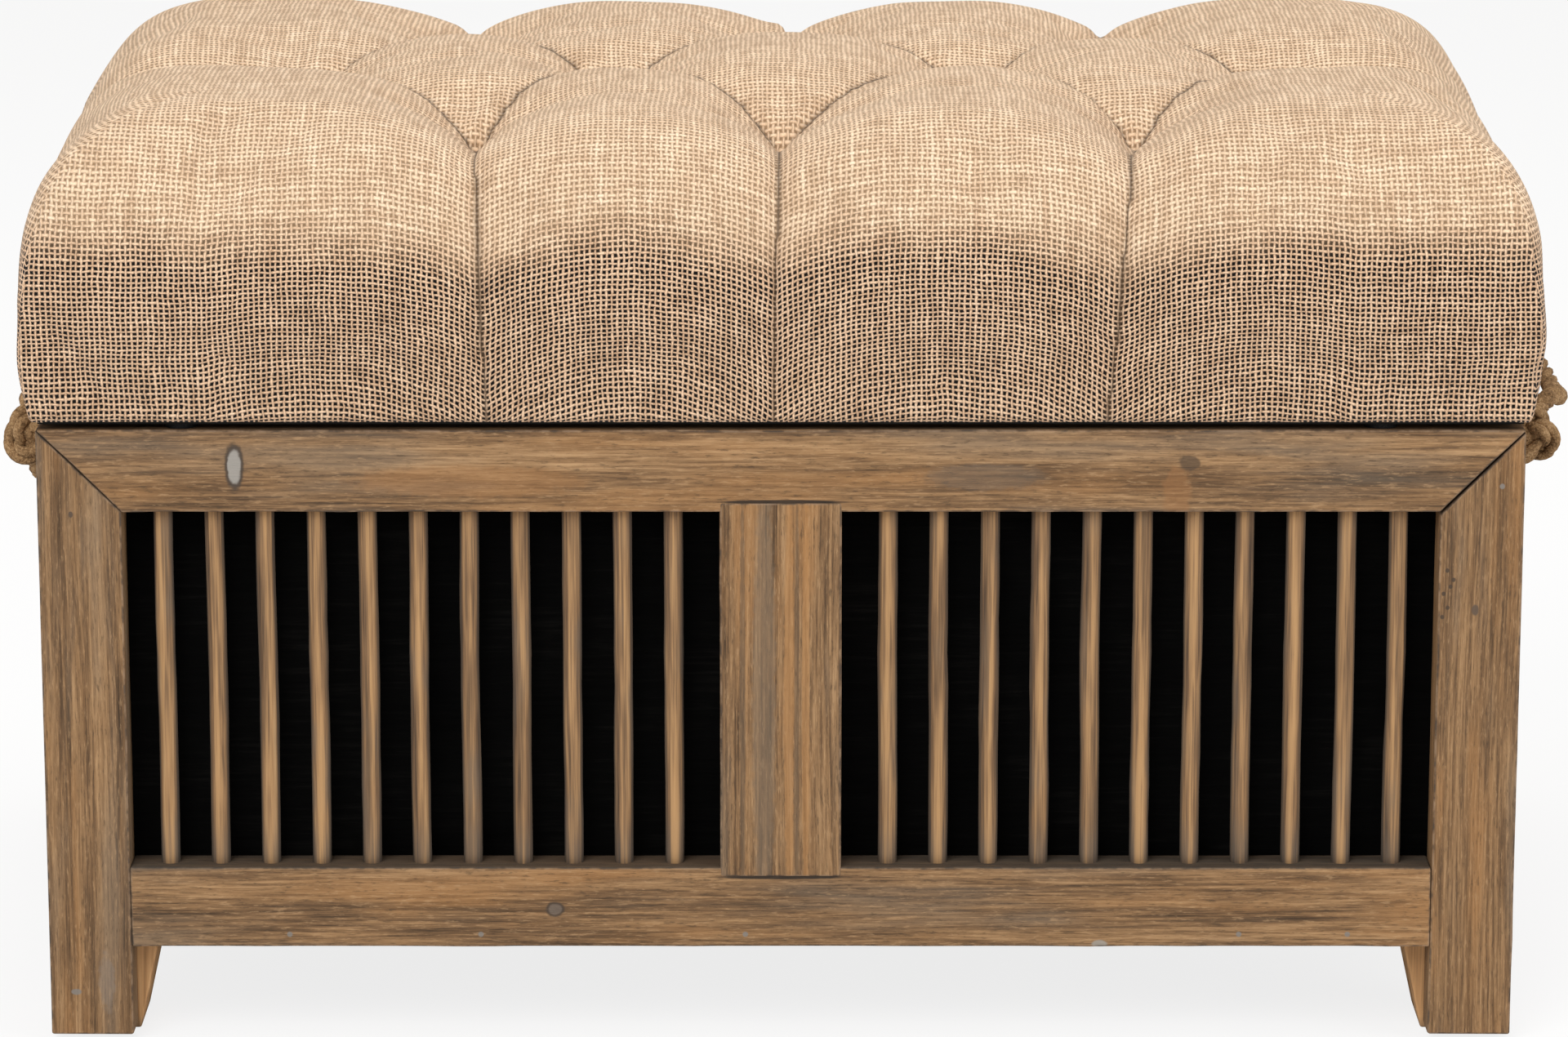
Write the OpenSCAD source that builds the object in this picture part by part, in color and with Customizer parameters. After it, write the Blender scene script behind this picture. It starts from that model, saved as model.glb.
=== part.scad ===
// Tufted storage bench: a barred fir crate on four feet, a hinged burlap cushion lid and two rope handles.
// Sizes are millimetres. +Z is up, the front faces -Y, and the origin is on the floor under the middle.

/* [Crate] */
// Width of the crate across the front
crate_w = 620; // [500:5:900]
// Depth of the crate from front to back
crate_d = 400; // [320:5:600]
// Height of the crate's top edge above the floor
crate_h = 266; // [220:1:400]
// Face width of the rails and stiles
stock_w = 35; // [28:0.5:46]
// Thickness of the rails and stiles
stock_t = 19; // [15:0.5:26]
// Height of the bottom rails above the floor
leg_h = 42; // [30:1:80]
// Height of the stiles' ends above the floor
stile_lift = 3; // [1:0.5:8]
// Face width of the centre stiles
centre_w = 51; // [36:0.5:80]
// Depth that a centre stile is let into each rail
housing = 4; // [2:0.5:8]

/* [Bars] */
// Diameter of the dowel bars
dowel_d = 8; // [6:0.5:11]
// Bars in each bay of the front and back
bay_bars = 11; // [5:1:13]
// Bars in each side
side_bars = 13; // [5:2:15]
// Distance from a centre stile's edge to the nearest bar's axis
bar_inner_margin = 19.5; // [12:0.5:30]
// Distance from a corner stile's edge to the nearest bar's axis
bar_outer_margin = 16.5; // [12:0.5:30]
// Depth of a bar's socket in a rail
socket_depth = 10; // [6:0.5:14]

/* [Feet, floor and lining] */
// Distance that a foot block shows past its stiles under the rail
foot_top_show = 10; // [4:0.5:20]
// Distance that a foot block shows past its stiles at the floor
foot_floor_show = 1; // [0.5:0.5:4]
// Height of the floor board above the bottom rails' undersides
floor_rise = 10; // [6:1:20]
// Thickness of the floor board
floor_t = 6; // [4:0.5:12]
// Width of the floor cleats
cleat_w = 12; // [8:1:20]
// Thickness of the lining boards
lining_t = 3; // [2:0.5:6]
// Gap between the lining's top edge and the crate's top edge
lining_drop = 8; // [4:1:12]

/* [Rope handles] */
// Diameter of the rope
rope_d = 8; // [6:0.5:9]
// Height of the rope holes above the top rails' lower edges
rope_hole_rise = 11; // [8:0.5:20]
// Bar spacings from the middle of a side to each rope hole
rope_hole_step = 4.5; // [2.5:1:5.5]

/* [Hinges] */
// Distance from the middle of the back to the middle of each hinge
hinge_x = 180; // [100:5:230]
// Length of a hinge along its pin
hinge_l = 50; // [36:1:80]
// Width of a leaf from the pin's axis
leaf_w = 17; // [14:0.5:20]
// Thickness of a leaf
leaf_t = 1.1; // [0.9:0.1:2]
// Outside diameter of a knuckle
knuckle_d = 5.2; // [4.6:0.1:7]
// Diameter of a hinge pin
pin_d = 2.6; // [2:0.1:3]
// Diameter of a screw's head
screw_head_d = 5.2; // [4:0.1:6]
// Length of a screw's shank
screw_l = 12; // [6:0.5:13]

/* [Lid stay] */
// Distance from the back of the crate to the stay's lower pivot
stay_low_y = 50; // [46:1:60]
// Depth of the stay's lower pivot below the crate's top edge
stay_low_z = 135; // [80:1:150]
// Distance from the back of the crate to the stay's upper pivot
stay_high_y = 60; // [50:1:70]
// Depth of the stay's upper pivot below the crate's top edge
stay_high_z = 10; // [8:0.5:14]
// Width of the stay's arms
arm_w = 10; // [8:0.5:14]
// Thickness of the stay's arms
arm_t = 1.6; // [1.2:0.1:2.5]
// Diameter of the stay's rivets
rivet_d = 4; // [3:0.1:5]

/* [Lid] */
// Thickness of the lid board
board_t = 15; // [14:0.5:22]
// Overhang of the cushion's hem past the crate
hem_over = 2.6; // [1.5:0.1:6]
// Thickness of the padding round the lid board's edge
wrap_t = 3.6; // [2:0.1:8]
// Height of the hem above the lid board's underside
hem_rise = 1.8; // [1.6:0.1:4]
// Thickness of the dust cover
cover_t = 0.8; // [0.4:0.1:1.4]
// Diameter of the felt bumpers
bumper_d = 14; // [8:1:16]

/* [Cushion] */
// Height of the mounds above the hem
mound_h = 123; // [110:1:180]
// Extra height of the crown in the middle
crown_h = 4; // [0:1:20]
// Width of the rounded shoulder
shoulder_w = 78; // [40:1:95]
// Height of the rounded shoulder
shoulder_h = 98; // [60:1:106]
// Swell of the sides past the crate
belly = 6; // [3:1:20]
// Extra swell of the ends towards the back
back_swell = 8; // [0:1:20]
// Depth of the tufts
tuft_depth = 31; // [15:1:45]
// Depth of a pleat midway between two tufts
pleat_depth = 7; // [2:1:20]
// Depth of a pleat at the hem
hem_depth = 3; // [1:0.5:6]
// Reach of a pleat's slope to each side
pleat_reach = 62; // [40:1:75]
// Distance between the rows of tufts
tuft_row = 100; // [80:1:115]
// Places of the front tufts across the width
front_tufts = [-130, 0, 152]; // [-220:1:220]
// Places where the front pleats reach the hem
front_hems = [-122, -3, 136]; // [-220:1:220]
// Places of the middle tufts across the width
middle_tufts = [-212, -77, 86, 216]; // [-250:1:250]
// Places of the back tufts across the width
back_tufts = [-144, 4, 150]; // [-220:1:220]
// Diameter of the tufting twine
twine_d = 2.4; // [1.5:0.1:4]
// Diameter of the buttons that hold the twine under the lid board
button_d = 12; // [8:1:18]

/* [Hidden] */
$fn = 48;
// Clearances: a sliding fit, a hinge pin's running fit and the gap between parts that pass each other
fit_gap = 0.1;
run_gap = 0.08;
pass_gap = 0.3;
// How far a cutting solid runs past the face that it opens
cut_over = 1;

fir = "#93714f";
fresh_fir = "#b98652";
bar_fir = "#84664a";
black_board = "#1b1918";
burlap = "#c9a779";
jute = "#8d7148";
steel = "#8f8b83";
felt = "#2a2826";
plywood = "#b59a73";

// Heights of the crate's parts
rail_low_top = leg_h + stock_w;
rail_top_low = crate_h - stock_w;
floor_z = leg_h + floor_rise;
floor_top = floor_z + floor_t;
lining_top = crate_h - lining_drop;
rope_hole_z = rail_top_low + rope_hole_rise;

// Half lengths of the front and side frames, and half sizes of the space between them
front_half = crate_w / 2;
side_half = crate_d / 2 - stock_t;
inner_x = crate_w / 2 - stock_t;
inner_y = crate_d / 2 - stock_t;

// Places of the bars along a frame, from its middle
bay_first = centre_w / 2 + bar_inner_margin;
bay_last = front_half - stock_w - bar_outer_margin;
bay_pitch = (bay_last - bay_first) / (bay_bars - 1);
right_bay = [for (i = [0 : bay_bars - 1]) bay_first + i * bay_pitch];
left_bay = [for (x = right_bay) -x];
side_reach = side_half - stock_w - bar_outer_margin;
side_pitch = 2 * side_reach / (side_bars - 1);
side_row = [for (i = [0 : side_bars - 1]) i * side_pitch - side_reach];
rope_hole_y = rope_hole_step * side_pitch;

// Hinge axis and the closed lid's heights
leaf_gap = 0.2;
hinge_y = crate_d / 2 + knuckle_d / 2 + pass_gap;
hinge_z = crate_h + leaf_t + leaf_gap / 2;
board_z = crate_h + 2 * leaf_t + leaf_gap;
board_top = board_z + board_t;
hem_z = board_z + hem_rise;
board_half = [crate_w / 2 + hem_over - wrap_t, crate_d / 2 + hem_over - wrap_t];
cover_margin = 20;
bumper_h = board_z - crate_h - leaf_gap;
bumper_inset = 60;

// Each hinge's knuckles split its length in three
knuckle_gap = 0.2;
middle_knuckle = hinge_l / 3 - knuckle_gap;
screw_x = hinge_l / 2 - 9;
screw_y = hinge_y - leaf_w + 6;
shank_d = 2.8;
pin_head_d = 4.4;
pin_head_l = 1;

// Stay pivots as [y, z], and the planes of its plates and arms across X. The four pivots make a
// parallelogram with the hinge axis, so each arm turns by exactly the lid's angle.
hinge_axis = [hinge_y, hinge_z];
stay_a = [crate_d / 2 - stay_low_y, crate_h - stay_low_z];
stay_b = [crate_d / 2 - stay_high_y, crate_h - stay_high_z];
stay_e = stay_a + stay_b - hinge_axis;
plate_t = 1.5;
anchor_l = 34;
rivet_head_d = 7;
rivet_head_t = 1;
lining_x = inner_x - lining_t;
anchor_x = lining_x - plate_t;
low_arm_x = anchor_x - pass_gap - arm_t;
high_arm_x = low_arm_x - pass_gap - arm_t;
ear_x = high_arm_x - pass_gap - arm_t;
arm_waist = 1;
bracket_w = 20;
bracket_l = 24;
cover_notch = 1;

// Cushion: the flat of the crown, and the path over the shoulder and down the face to the hem
flat_half = [crate_w / 2 + belly - shoulder_w, crate_d / 2 + belly - shoulder_w];
mound_top = hem_z + mound_h;
// The shoulder's squareness, and its length as a share of its width and height
shoulder_power = 3.6;
arc_share = 0.87;
shoulder_arc = arc_share * (shoulder_w + shoulder_h);
face_drop = mound_h - shoulder_h;
side_path = shoulder_arc + face_drop;
cover_half = flat_half + [side_path, side_path];
// Corners are soft over the shoulder and square at the hem
corner_soft = 5;
corner_square = 40;
corner_rise = 3;
// Pleats: roundness of the pillows between them, how they fade to the hem, and how they meet
pillow_power = 1.6;
pleat_fall = 1.3;
pleat_narrowing = 0.35;
pleat_blend = 8;
tie_slack = 1.3;
grid_x = 36;
grid_y = 26;
cell = [2 * cover_half.x / grid_x, 2 * cover_half.y / grid_y];

// Tufts as [x, y], the pleats that tie them and the pleats that run on to the hem, on the cover laid flat
front_row = [for (x = front_tufts) [x, -tuft_row]];
middle_row = [for (x = middle_tufts) [x, 0]];
back_row = [for (x = back_tufts) [x, tuft_row]];
tufts = concat(front_row, middle_row, back_row);
tie_pleats = [for (row = [front_row, back_row]) for (i = [0 : 2]) for (k = [0, 1])
    [row[i], middle_row[i + k]]];
hem_pleats = concat(
    [for (i = [0 : 2]) [front_row[i], [front_hems[i], -cover_half.y]]],
    [for (p = back_row) [p, [p.x, cover_half.y]]],
    [for (i = [0, 3]) [middle_row[i], [sign(middle_row[i].x) * cover_half.x, 0]]]
);

// Rope routes from the front knot to the middle of the handle, as [out from the side, along it, up]
left_route = [
    [13, -97, 246], [15, -92, 252], [17, -84, 255], [18, -75, 252], [19, -67, 244], [20, -59, 234],
    [20, -50, 225], [20, -40, 217], [20, -28, 211], [20, -14, 207], [20, 0, 206]
];
right_route = [
    [13, -97, 246], [16, -93, 250], [20, -87, 253], [24, -79, 254], [28, -69, 254], [31, -57, 251],
    [33, -44, 248], [35, -30, 245], [36, -15, 243], [36, 0, 242]
];
rope_sides = 10;

// Frames: each board is drawn with its outer face at y = 0, and turned to its side of the crate
module at_front() translate([0, -crate_d / 2, 0]) children();
module at_back() rotate(180) translate([0, -crate_d / 2, 0]) children();
module at_left() rotate(-90) translate([0, -crate_w / 2, 0]) children();
module at_right() rotate(90) translate([0, -crate_w / 2, 0]) children();

module board(outline)
    translate([0, stock_t, 0]) rotate([90, 0, 0]) linear_extrude(stock_t) polygon(outline);

// Corner stile at the end of a frame, mitred at the top
module stile(half, end) {
    outer = end * half;
    inner = end * (half - stock_w);
    board([[outer, stile_lift], [inner, stile_lift], [inner, rail_top_low], [outer, crate_h]]);
}

module sockets(row, mouth, up)
    for (x = row)
        translate([x, stock_t / 2, up ? mouth - cut_over : mouth - socket_depth])
            cylinder(d = dowel_d + 2 * fit_gap, h = socket_depth + cut_over);

// Notch that a centre stile's end sits in
module stile_notch(mouth, up)
    translate([-centre_w / 2, -cut_over, up ? mouth - cut_over : mouth - housing])
        cube([centre_w, stock_t + 2 * cut_over, housing + cut_over]);

module top_rail(half, row)
    difference() {
        board([[-half, crate_h], [half, crate_h], [half - stock_w, rail_top_low],
            [stock_w - half, rail_top_low]]);
        sockets(row, rail_top_low, true);
    }

module bottom_rail(half, row)
    difference() {
        board([[stock_w - half, leg_h], [half - stock_w, leg_h], [half - stock_w, rail_low_top],
            [stock_w - half, rail_low_top]]);
        sockets(row, rail_low_top, false);
    }

module centre_stile()
    translate([-centre_w / 2, 0, rail_low_top - housing])
        cube([centre_w, stock_t, rail_top_low - rail_low_top + 2 * housing]);

module bars(row)
    for (x = row)
        translate([x, stock_t / 2, rail_low_top - socket_depth])
            cylinder(d = dowel_d, h = rail_top_low - rail_low_top + 2 * socket_depth - fit_gap);

module front_rail_pair_top()
    difference() {
        top_rail(front_half, concat(left_bay, right_bay));
        stile_notch(rail_top_low, true);
    }

module front_rail_pair_bottom()
    difference() {
        bottom_rail(front_half, concat(left_bay, right_bay));
        stile_notch(rail_low_top, false);
    }

module rope_holes(depth)
    for (y = [-rope_hole_y, rope_hole_y])
        translate([y, -cut_over, rope_hole_z]) rotate([-90, 0, 0])
            cylinder(d = rope_d + 2 * pass_gap, h = depth + 2 * cut_over);

module side_top_rail()
    difference() {
        top_rail(side_half, side_row);
        rope_holes(stock_t);
    }

module front_left_stile() color(fir) at_front() stile(front_half, -1);
module front_right_stile() color(fir) at_front() stile(front_half, 1);
module front_top_rail() color(fir) at_front() front_rail_pair_top();
module front_bottom_rail() color(fir) at_front() front_rail_pair_bottom();
module front_centre_stile() color(fir) at_front() centre_stile();
module front_left_bars() color(bar_fir) at_front() bars(left_bay);
module front_right_bars() color(bar_fir) at_front() bars(right_bay);

module back_left_stile() color(fir) at_back() stile(front_half, 1);
module back_right_stile() color(fir) at_back() stile(front_half, -1);
module back_top_rail()
    color(fir) difference() {
        at_back() front_rail_pair_top();
        screws(crate_h, -1, fit_gap);
    }
module back_bottom_rail() color(fir) at_back() front_rail_pair_bottom();
module back_centre_stile() color(fir) at_back() centre_stile();
module back_left_bars() color(bar_fir) at_back() bars(right_bay);
module back_right_bars() color(bar_fir) at_back() bars(left_bay);

module left_front_stile() color(fir) at_left() stile(side_half, 1);
module left_back_stile() color(fir) at_left() stile(side_half, -1);
module left_top_rail() color(fir) at_left() side_top_rail();
module left_bottom_rail() color(fir) at_left() bottom_rail(side_half, side_row);
module left_bars() color(bar_fir) at_left() bars(side_row);

module right_front_stile() color(fir) at_right() stile(side_half, -1);
module right_back_stile() color(fir) at_right() stile(side_half, 1);
module right_top_rail() color(fir) at_right() side_top_rail();
module right_bottom_rail() color(fir) at_right() bottom_rail(side_half, side_row);
module right_bars() color(bar_fir) at_right() bars(side_row);

// Foot block inside a corner: both inner faces taper towards the floor below the rails
module foot_profile(outer, stile_edge, long)
    translate([0, long / 2, 0]) rotate([90, 0, 0]) linear_extrude(long)
        polygon([[outer, 0], [stile_edge - foot_floor_show, 0], [stile_edge - foot_top_show, leg_h],
            [stile_edge - foot_top_show, floor_z], [outer, floor_z]]);

module foot(side_x, side_y)
    mirror([side_x < 0 ? 1 : 0, 0, 0]) mirror([0, side_y < 0 ? 1 : 0, 0])
        intersection() {
            foot_profile(inner_x, front_half - stock_w, crate_d);
            rotate(90) mirror([0, 1, 0]) foot_profile(inner_y, side_half - stock_w, 2 * crate_w);
        }

module front_left_foot() color(fresh_fir) foot(-1, -1);
module front_right_foot() color(fresh_fir) foot(1, -1);
module back_left_foot() color(fresh_fir) foot(-1, 1);
module back_right_foot() color(fresh_fir) foot(1, 1);

module floor_board()
    color(black_board) translate([pass_gap - inner_x, pass_gap - inner_y, floor_z])
        cube([2 * (inner_x - pass_gap), 2 * (inner_y - pass_gap), floor_t]);

// Cleats run between the foot blocks along the inside of the bottom rails
module floor_cleats() {
    long_half = front_half - stock_w - foot_top_show - cut_over;
    short_half = side_half - stock_w - foot_top_show - cut_over;
    color(fir) for (side = [-1, 1]) {
        translate([-long_half, side < 0 ? -inner_y : inner_y - cleat_w, leg_h])
            cube([2 * long_half, cleat_w, floor_rise]);
        translate([side < 0 ? -inner_x : inner_x - cleat_w, -short_half, leg_h])
            cube([cleat_w, 2 * short_half, floor_rise]);
    }
}

// Lining boards stand on the floor board against the frames' inner faces
module lining(half)
    translate([-half, stock_t, floor_top]) cube([2 * half, lining_t, lining_top - floor_top]);

module side_lining()
    difference() {
        lining(inner_y - lining_t);
        rope_holes(stock_t + lining_t);
    }

module front_lining() color(black_board) at_front() lining(inner_x);
module back_lining() color(black_board) at_back() lining(inner_x);
module left_lining() color(black_board) at_left() side_lining();
module right_lining() color(black_board) at_right() side_lining();

// A rope end: a round knot outside the rail, the shank through the hole and a knot inside the lining
module knot(size)
    rotate_extrude() intersection() {
        union() {
            for (turn = [[0.30, 0.18], [0.32, 0.46], [0.24, 0.76]])
                translate(turn * size) circle(d = 0.36 * size);
            square([0.32 * size, 0.9 * size]);
        }
        square(size);
    }

module rope_end(y) {
    outer_knot = 3.4 * rope_d;
    inner_knot = 2.6 * rope_d;
    wall = stock_t + lining_t;
    translate([y, 0, rope_hole_z]) {
        translate([0, -pass_gap, 0]) rotate([90, 0, 0]) knot(outer_knot);
        translate([0, wall + pass_gap, 0]) rotate([-90, 0, 0]) knot(inner_knot);
        translate([0, -rope_d, 0]) rotate([-90, 0, 0]) cylinder(d = rope_d, h = wall + 2 * rope_d);
    }
}

module rope_ends() for (y = [-rope_hole_y, rope_hole_y]) rope_end(y);
module left_rope_knots() color(jute) at_left() rope_ends();
module right_rope_knots() color(jute) at_right() rope_ends();

// Tube of a round rope through a list of points
function along(path, i) =
    path[min(i + 1, len(path) - 1)] - path[max(i - 1, 0)];
function ring(centre, way, d) =
    let (a = cross(way, [1, 0, 0]), b = cross(way, a))
    [for (k = [0 : rope_sides - 1])
        let (turn = 360 * k / rope_sides)
        centre + d / 2 * (a / norm(a) * cos(turn) + b / norm(b) * sin(turn))];
module tube(path, d) {
    last = len(path) - 1;
    points = [for (i = [0 : last]) each ring(path[i], along(path, i), d)];
    walls = [for (i = [0 : last - 1]) for (k = [0 : rope_sides - 1])
        let (n = (k + 1) % rope_sides, low = i * rope_sides, high = low + rope_sides)
        each [[low + k, high + k, high + n], [low + k, high + n, low + n]]];
    start_cap = [for (k = [1 : rope_sides - 2]) [0, k, k + 1]];
    tip = last * rope_sides;
    end_cap = [for (k = [1 : rope_sides - 2]) [tip, tip + k + 1, tip + k]];
    polyhedron(points, concat(walls, start_cap, end_cap));
}

// The half route from the front is repeated in reverse to the back
function whole_route(half, side) =
    let (n = len(half) - 1)
    [for (i = [0 : 2 * n])
        let (p = i <= n ? half[i] : half[2 * n - i], back = i <= n ? 1 : -1)
        [side * (crate_w / 2 + p.x), back * p.y, p.z]];
module left_rope() color(jute) tube(whole_route(left_route, -1), rope_d);
module right_rope() color(jute) tube(whole_route(right_route, 1), rope_d);

// Screws at both hinges: heads in the leaf on this face, shanks into the wood beyond it
module screws(face, way, gap)
    for (x = [-hinge_x, hinge_x]) for (dx = [-screw_x, screw_x])
        translate([x + dx, screw_y, face]) mirror([0, 0, way < 0 ? 1 : 0]) {
            translate([0, 0, -gap]) cylinder(d = shank_d + 2 * gap, h = screw_l + 2 * gap);
            translate([0, 0, fit_gap - leaf_t]) cylinder(d = screw_head_d + 2 * gap, h = leaf_t - fit_gap);
        }

module base_screws() color(steel) screws(crate_h, -1, 0);
module lid_screws() color(steel) screws(board_z, 1, 0);

// A hinge leaf: its plate, cut back beside the other leaf's knuckles, and its own knuckles
module leaf(plate_z, own, other) {
    difference() {
        union() {
            translate([-hinge_l / 2, hinge_y - leaf_w, plate_z]) cube([hinge_l, leaf_w, leaf_t]);
            for (span = own) knuckle(span, knuckle_d, 0);
        }
        for (span = other)
            translate([span[0] - knuckle_gap, hinge_y - knuckle_d / 2 - pass_gap, hinge_z - knuckle_d])
                cube([span[1] - span[0] + 2 * knuckle_gap, knuckle_d * 2, knuckle_d * 2]);
        knuckle([-hinge_l / 2, hinge_l / 2], pin_d + 2 * run_gap, cut_over);
        for (dx = [-screw_x, screw_x])
            translate([dx, screw_y, plate_z - cut_over])
                cylinder(d = screw_head_d + 2 * fit_gap, h = leaf_t + 2 * cut_over);
    }
}

module knuckle(span, d, past)
    translate([span[0] - past, hinge_y, hinge_z]) rotate([0, 90, 0])
        cylinder(d = d, h = span[1] - span[0] + 2 * past);

outer_knuckles = [[-hinge_l / 2, -middle_knuckle / 2 - knuckle_gap],
    [middle_knuckle / 2 + knuckle_gap, hinge_l / 2]];
inner_knuckle = [[-middle_knuckle / 2, middle_knuckle / 2]];

module hinge_base() leaf(crate_h, outer_knuckles, inner_knuckle);
module hinge_leaf() leaf(board_z - leaf_t, inner_knuckle, outer_knuckles);
module hinge_pin() {
    end = hinge_l / 2 + fit_gap;
    knuckle([-end, end], pin_d, 0);
    knuckle([-end - pin_head_l, -end], pin_head_d, 0);
    knuckle([end, end + pin_head_l], pin_head_d, 0);
}

module left_hinge_base() color(steel) translate([-hinge_x, 0, 0]) hinge_base();
module right_hinge_base() color(steel) translate([hinge_x, 0, 0]) hinge_base();
module left_hinge_pin() color(steel) translate([-hinge_x, 0, 0]) hinge_pin();
module right_hinge_pin() color(steel) translate([hinge_x, 0, 0]) hinge_pin();
module left_hinge_leaf() color(steel) translate([-hinge_x, 0, 0]) hinge_leaf();
module right_hinge_leaf() color(steel) translate([hinge_x, 0, 0]) hinge_leaf();

// Round solid across X at a pivot
module across(pivot, x, d, long)
    translate([x, pivot[0], pivot[1]]) rotate([0, 90, 0]) cylinder(d = d, h = long);

// Flat arm between two pivots, a little narrower than its round eyes
module arm(from, to, x) {
    reach = to - from;
    across(from, x, arm_w, arm_t);
    across(to, x, arm_w, arm_t);
    translate([x, from[0], from[1]]) rotate([atan2(reach[1], reach[0]), 0, 0])
        translate([0, 0, arm_waist - arm_w / 2]) cube([arm_t, norm(reach), arm_w - 2 * arm_waist]);
}

// Rivet from a plate's face through one arm, with a head beyond it
module rivet(pivot, face, way) {
    long = arm_t + 2 * pass_gap;
    across(pivot, way > 0 ? face : face - long, rivet_d, long);
    across(pivot, way > 0 ? face + long : face - long - rivet_head_t, rivet_head_d, rivet_head_t);
}

module stay_anchor()
    color(steel) {
        translate([anchor_x, stay_a[0] - arm_w / 2, stay_a[1] - anchor_l / 2])
            cube([plate_t, arm_w, anchor_l]);
        rivet(stay_a, anchor_x, -1);
    }

module stay_lower_arm()
    color(steel) {
        difference() {
            arm(stay_a, stay_e, low_arm_x);
            across(stay_a, low_arm_x - cut_over, rivet_d + 2 * run_gap, arm_t + 2 * cut_over);
        }
        rivet(stay_e, low_arm_x, -1);
    }

module stay_upper_arm()
    color(steel) difference() {
        arm(stay_e, stay_b, high_arm_x);
        across(stay_e, high_arm_x - cut_over, rivet_d + 2 * pass_gap, arm_t + 2 * cut_over);
        across(stay_b, high_arm_x - cut_over, rivet_d + 2 * run_gap, arm_t + 2 * cut_over);
    }

module stay_lid_bracket()
    color(steel) {
        translate([ear_x + arm_t - bracket_w, stay_b[0] - bracket_l / 2, board_z - plate_t])
            cube([bracket_w, bracket_l, plate_t]);
        translate([ear_x, stay_b[0] - arm_w / 2, stay_b[1]]) cube([arm_t, arm_w, board_z - stay_b[1]]);
        across(stay_b, ear_x, arm_w, arm_t);
        rivet(stay_b, ear_x + arm_t, 1);
    }

module twine_holes(gap)
    for (p = tufts) translate([p.x, p.y, board_z]) {
        cylinder(d = button_d + 2 * gap, h = button_seat);
        cylinder(d = twine_d + 2 * gap, h = board_t + cut_over);
    }
button_seat = 3;

module lid_board()
    color(black_board) difference() {
        translate([-board_half.x, -board_half.y, board_z])
            cube([2 * board_half.x, 2 * board_half.y, board_t]);
        translate([0, 0, -cut_over]) twine_holes(fit_gap);
        screws(board_z, 1, fit_gap);
    }

// Twine from just under each tuft to a button let into the lid board's underside
module tuft_ties()
    color(jute) for (p = tufts) translate([p.x, p.y, board_z + fit_gap]) {
        cylinder(d = button_d, h = button_seat - cut_over - 2 * fit_gap);
        cylinder(d = twine_d, h = mound_h + hem_rise - tie_slack * tuft_depth);
    }

module dust_cover()
    color(felt) difference() {
        translate([cover_margin - board_half.x, cover_margin - board_half.y, board_z - cover_t])
            cube([2 * (board_half.x - cover_margin),
                hinge_y - leaf_w - cover_notch - cover_margin + board_half.y, cover_t]);
        translate([ear_x + arm_t - bracket_w - cover_notch, stay_b[0] - bracket_l / 2 - cover_notch,
            board_z - cover_t - cut_over])
            cube([crate_w, bracket_l + 2 * cover_notch, cover_t + 2 * cut_over]);
    }

module lid_bumpers()
    color(felt) for (side = [-1, 1])
        translate([side * (front_half - bumper_inset), -crate_d / 2 + stock_t / 2, crate_h])
            cylinder(d = bumper_d, h = bumper_h);

// Cushion: each pleat draws the surface in near it, on the cover laid flat
function share_along(p, a, b) = max(0, min(1, (p - a) * (b - a) / ((b - a) * (b - a))));
function tie_depth(share) = pleat_depth + (tuft_depth - pleat_depth) * pow(2 * share - 1, 2);
function run_depth(share) = hem_depth + (tuft_depth - hem_depth) * pow(1 - share, pleat_fall);
function pillow(u) = 1 - pow(1 - pow(u, pillow_power), 1 / pillow_power);
function slope(p, pleat, share, reach) =
    pillow(max(0, 1 - norm(p - pleat[0] - share * (pleat[1] - pleat[0])) / reach));
function drawn_in(p, reach) =
    let (
        ties = [for (s = tie_pleats)
            let (share = share_along(p, s[0], s[1])) tie_depth(share) * slope(p, s, share, reach)],
        runs = [for (s = hem_pleats)
            let (share = share_along(p, s[0], s[1])) run_depth(share) * slope(p, s, share, reach)],
        pulls = [for (pull = concat(ties, runs)) pow(pull, pleat_blend)]
    )
    pow(pulls * [for (pull = pulls) 1], 1 / pleat_blend);
function crown(p) =
    crown_h * (1 - pow(p.x / flat_half.x, 2)) * (1 - pow(p.y / flat_half.y, 2));
function on_flat(p) =
    [max(-flat_half.x, min(flat_half.x, p.x)), max(-flat_half.y, min(flat_half.y, p.y))];
// Outward way from the edge of the flat, where path is the way gone down the side
function outward(over, path) =
    let (
        power = corner_soft + (corner_square - corner_soft) * pow(path / side_path, corner_rise),
        way = path > 0 ? over / path : [0, 0]
    )
    path > 0 ? way / pow(pow(abs(way.x), power) + pow(abs(way.y), power), 1 / power) : way;
// The shoulder's section is a quarter of a squared ellipse
function shoulder_radius(turn) =
    pow(pow(sin(turn) / shoulder_w, shoulder_power) + pow(cos(turn) / shoulder_h, shoulder_power),
        -1 / shoulder_power);
function cushion_point(p) =
    let (
        base = on_flat(p),
        path = max(abs(p.x - base.x), abs(p.y - base.y)),
        down = min(1, path / shoulder_arc),
        face = max(0, (path - shoulder_arc) / face_drop),
        turn = 90 * down,
        n = outward(p - base, path),
        pit = drawn_in(p, pleat_reach * (1 - pleat_narrowing * down)),
        swell = back_swell * abs(n.x) * max(0, base.y / flat_half.y) * sin(turn) * (1 - face),
        tuck = (belly - hem_over) * pow(face, 2),
        out = shoulder_radius(turn) * sin(turn) + swell - tuck - pit * sin(turn) * (1 - pow(face, 2)),
        xy = base + n * out,
        up = shoulder_radius(turn) * cos(turn) - shoulder_h - face_drop * face - pit * cos(turn)
    )
    [xy.x, xy.y, mound_top + crown(base) + up];
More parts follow.
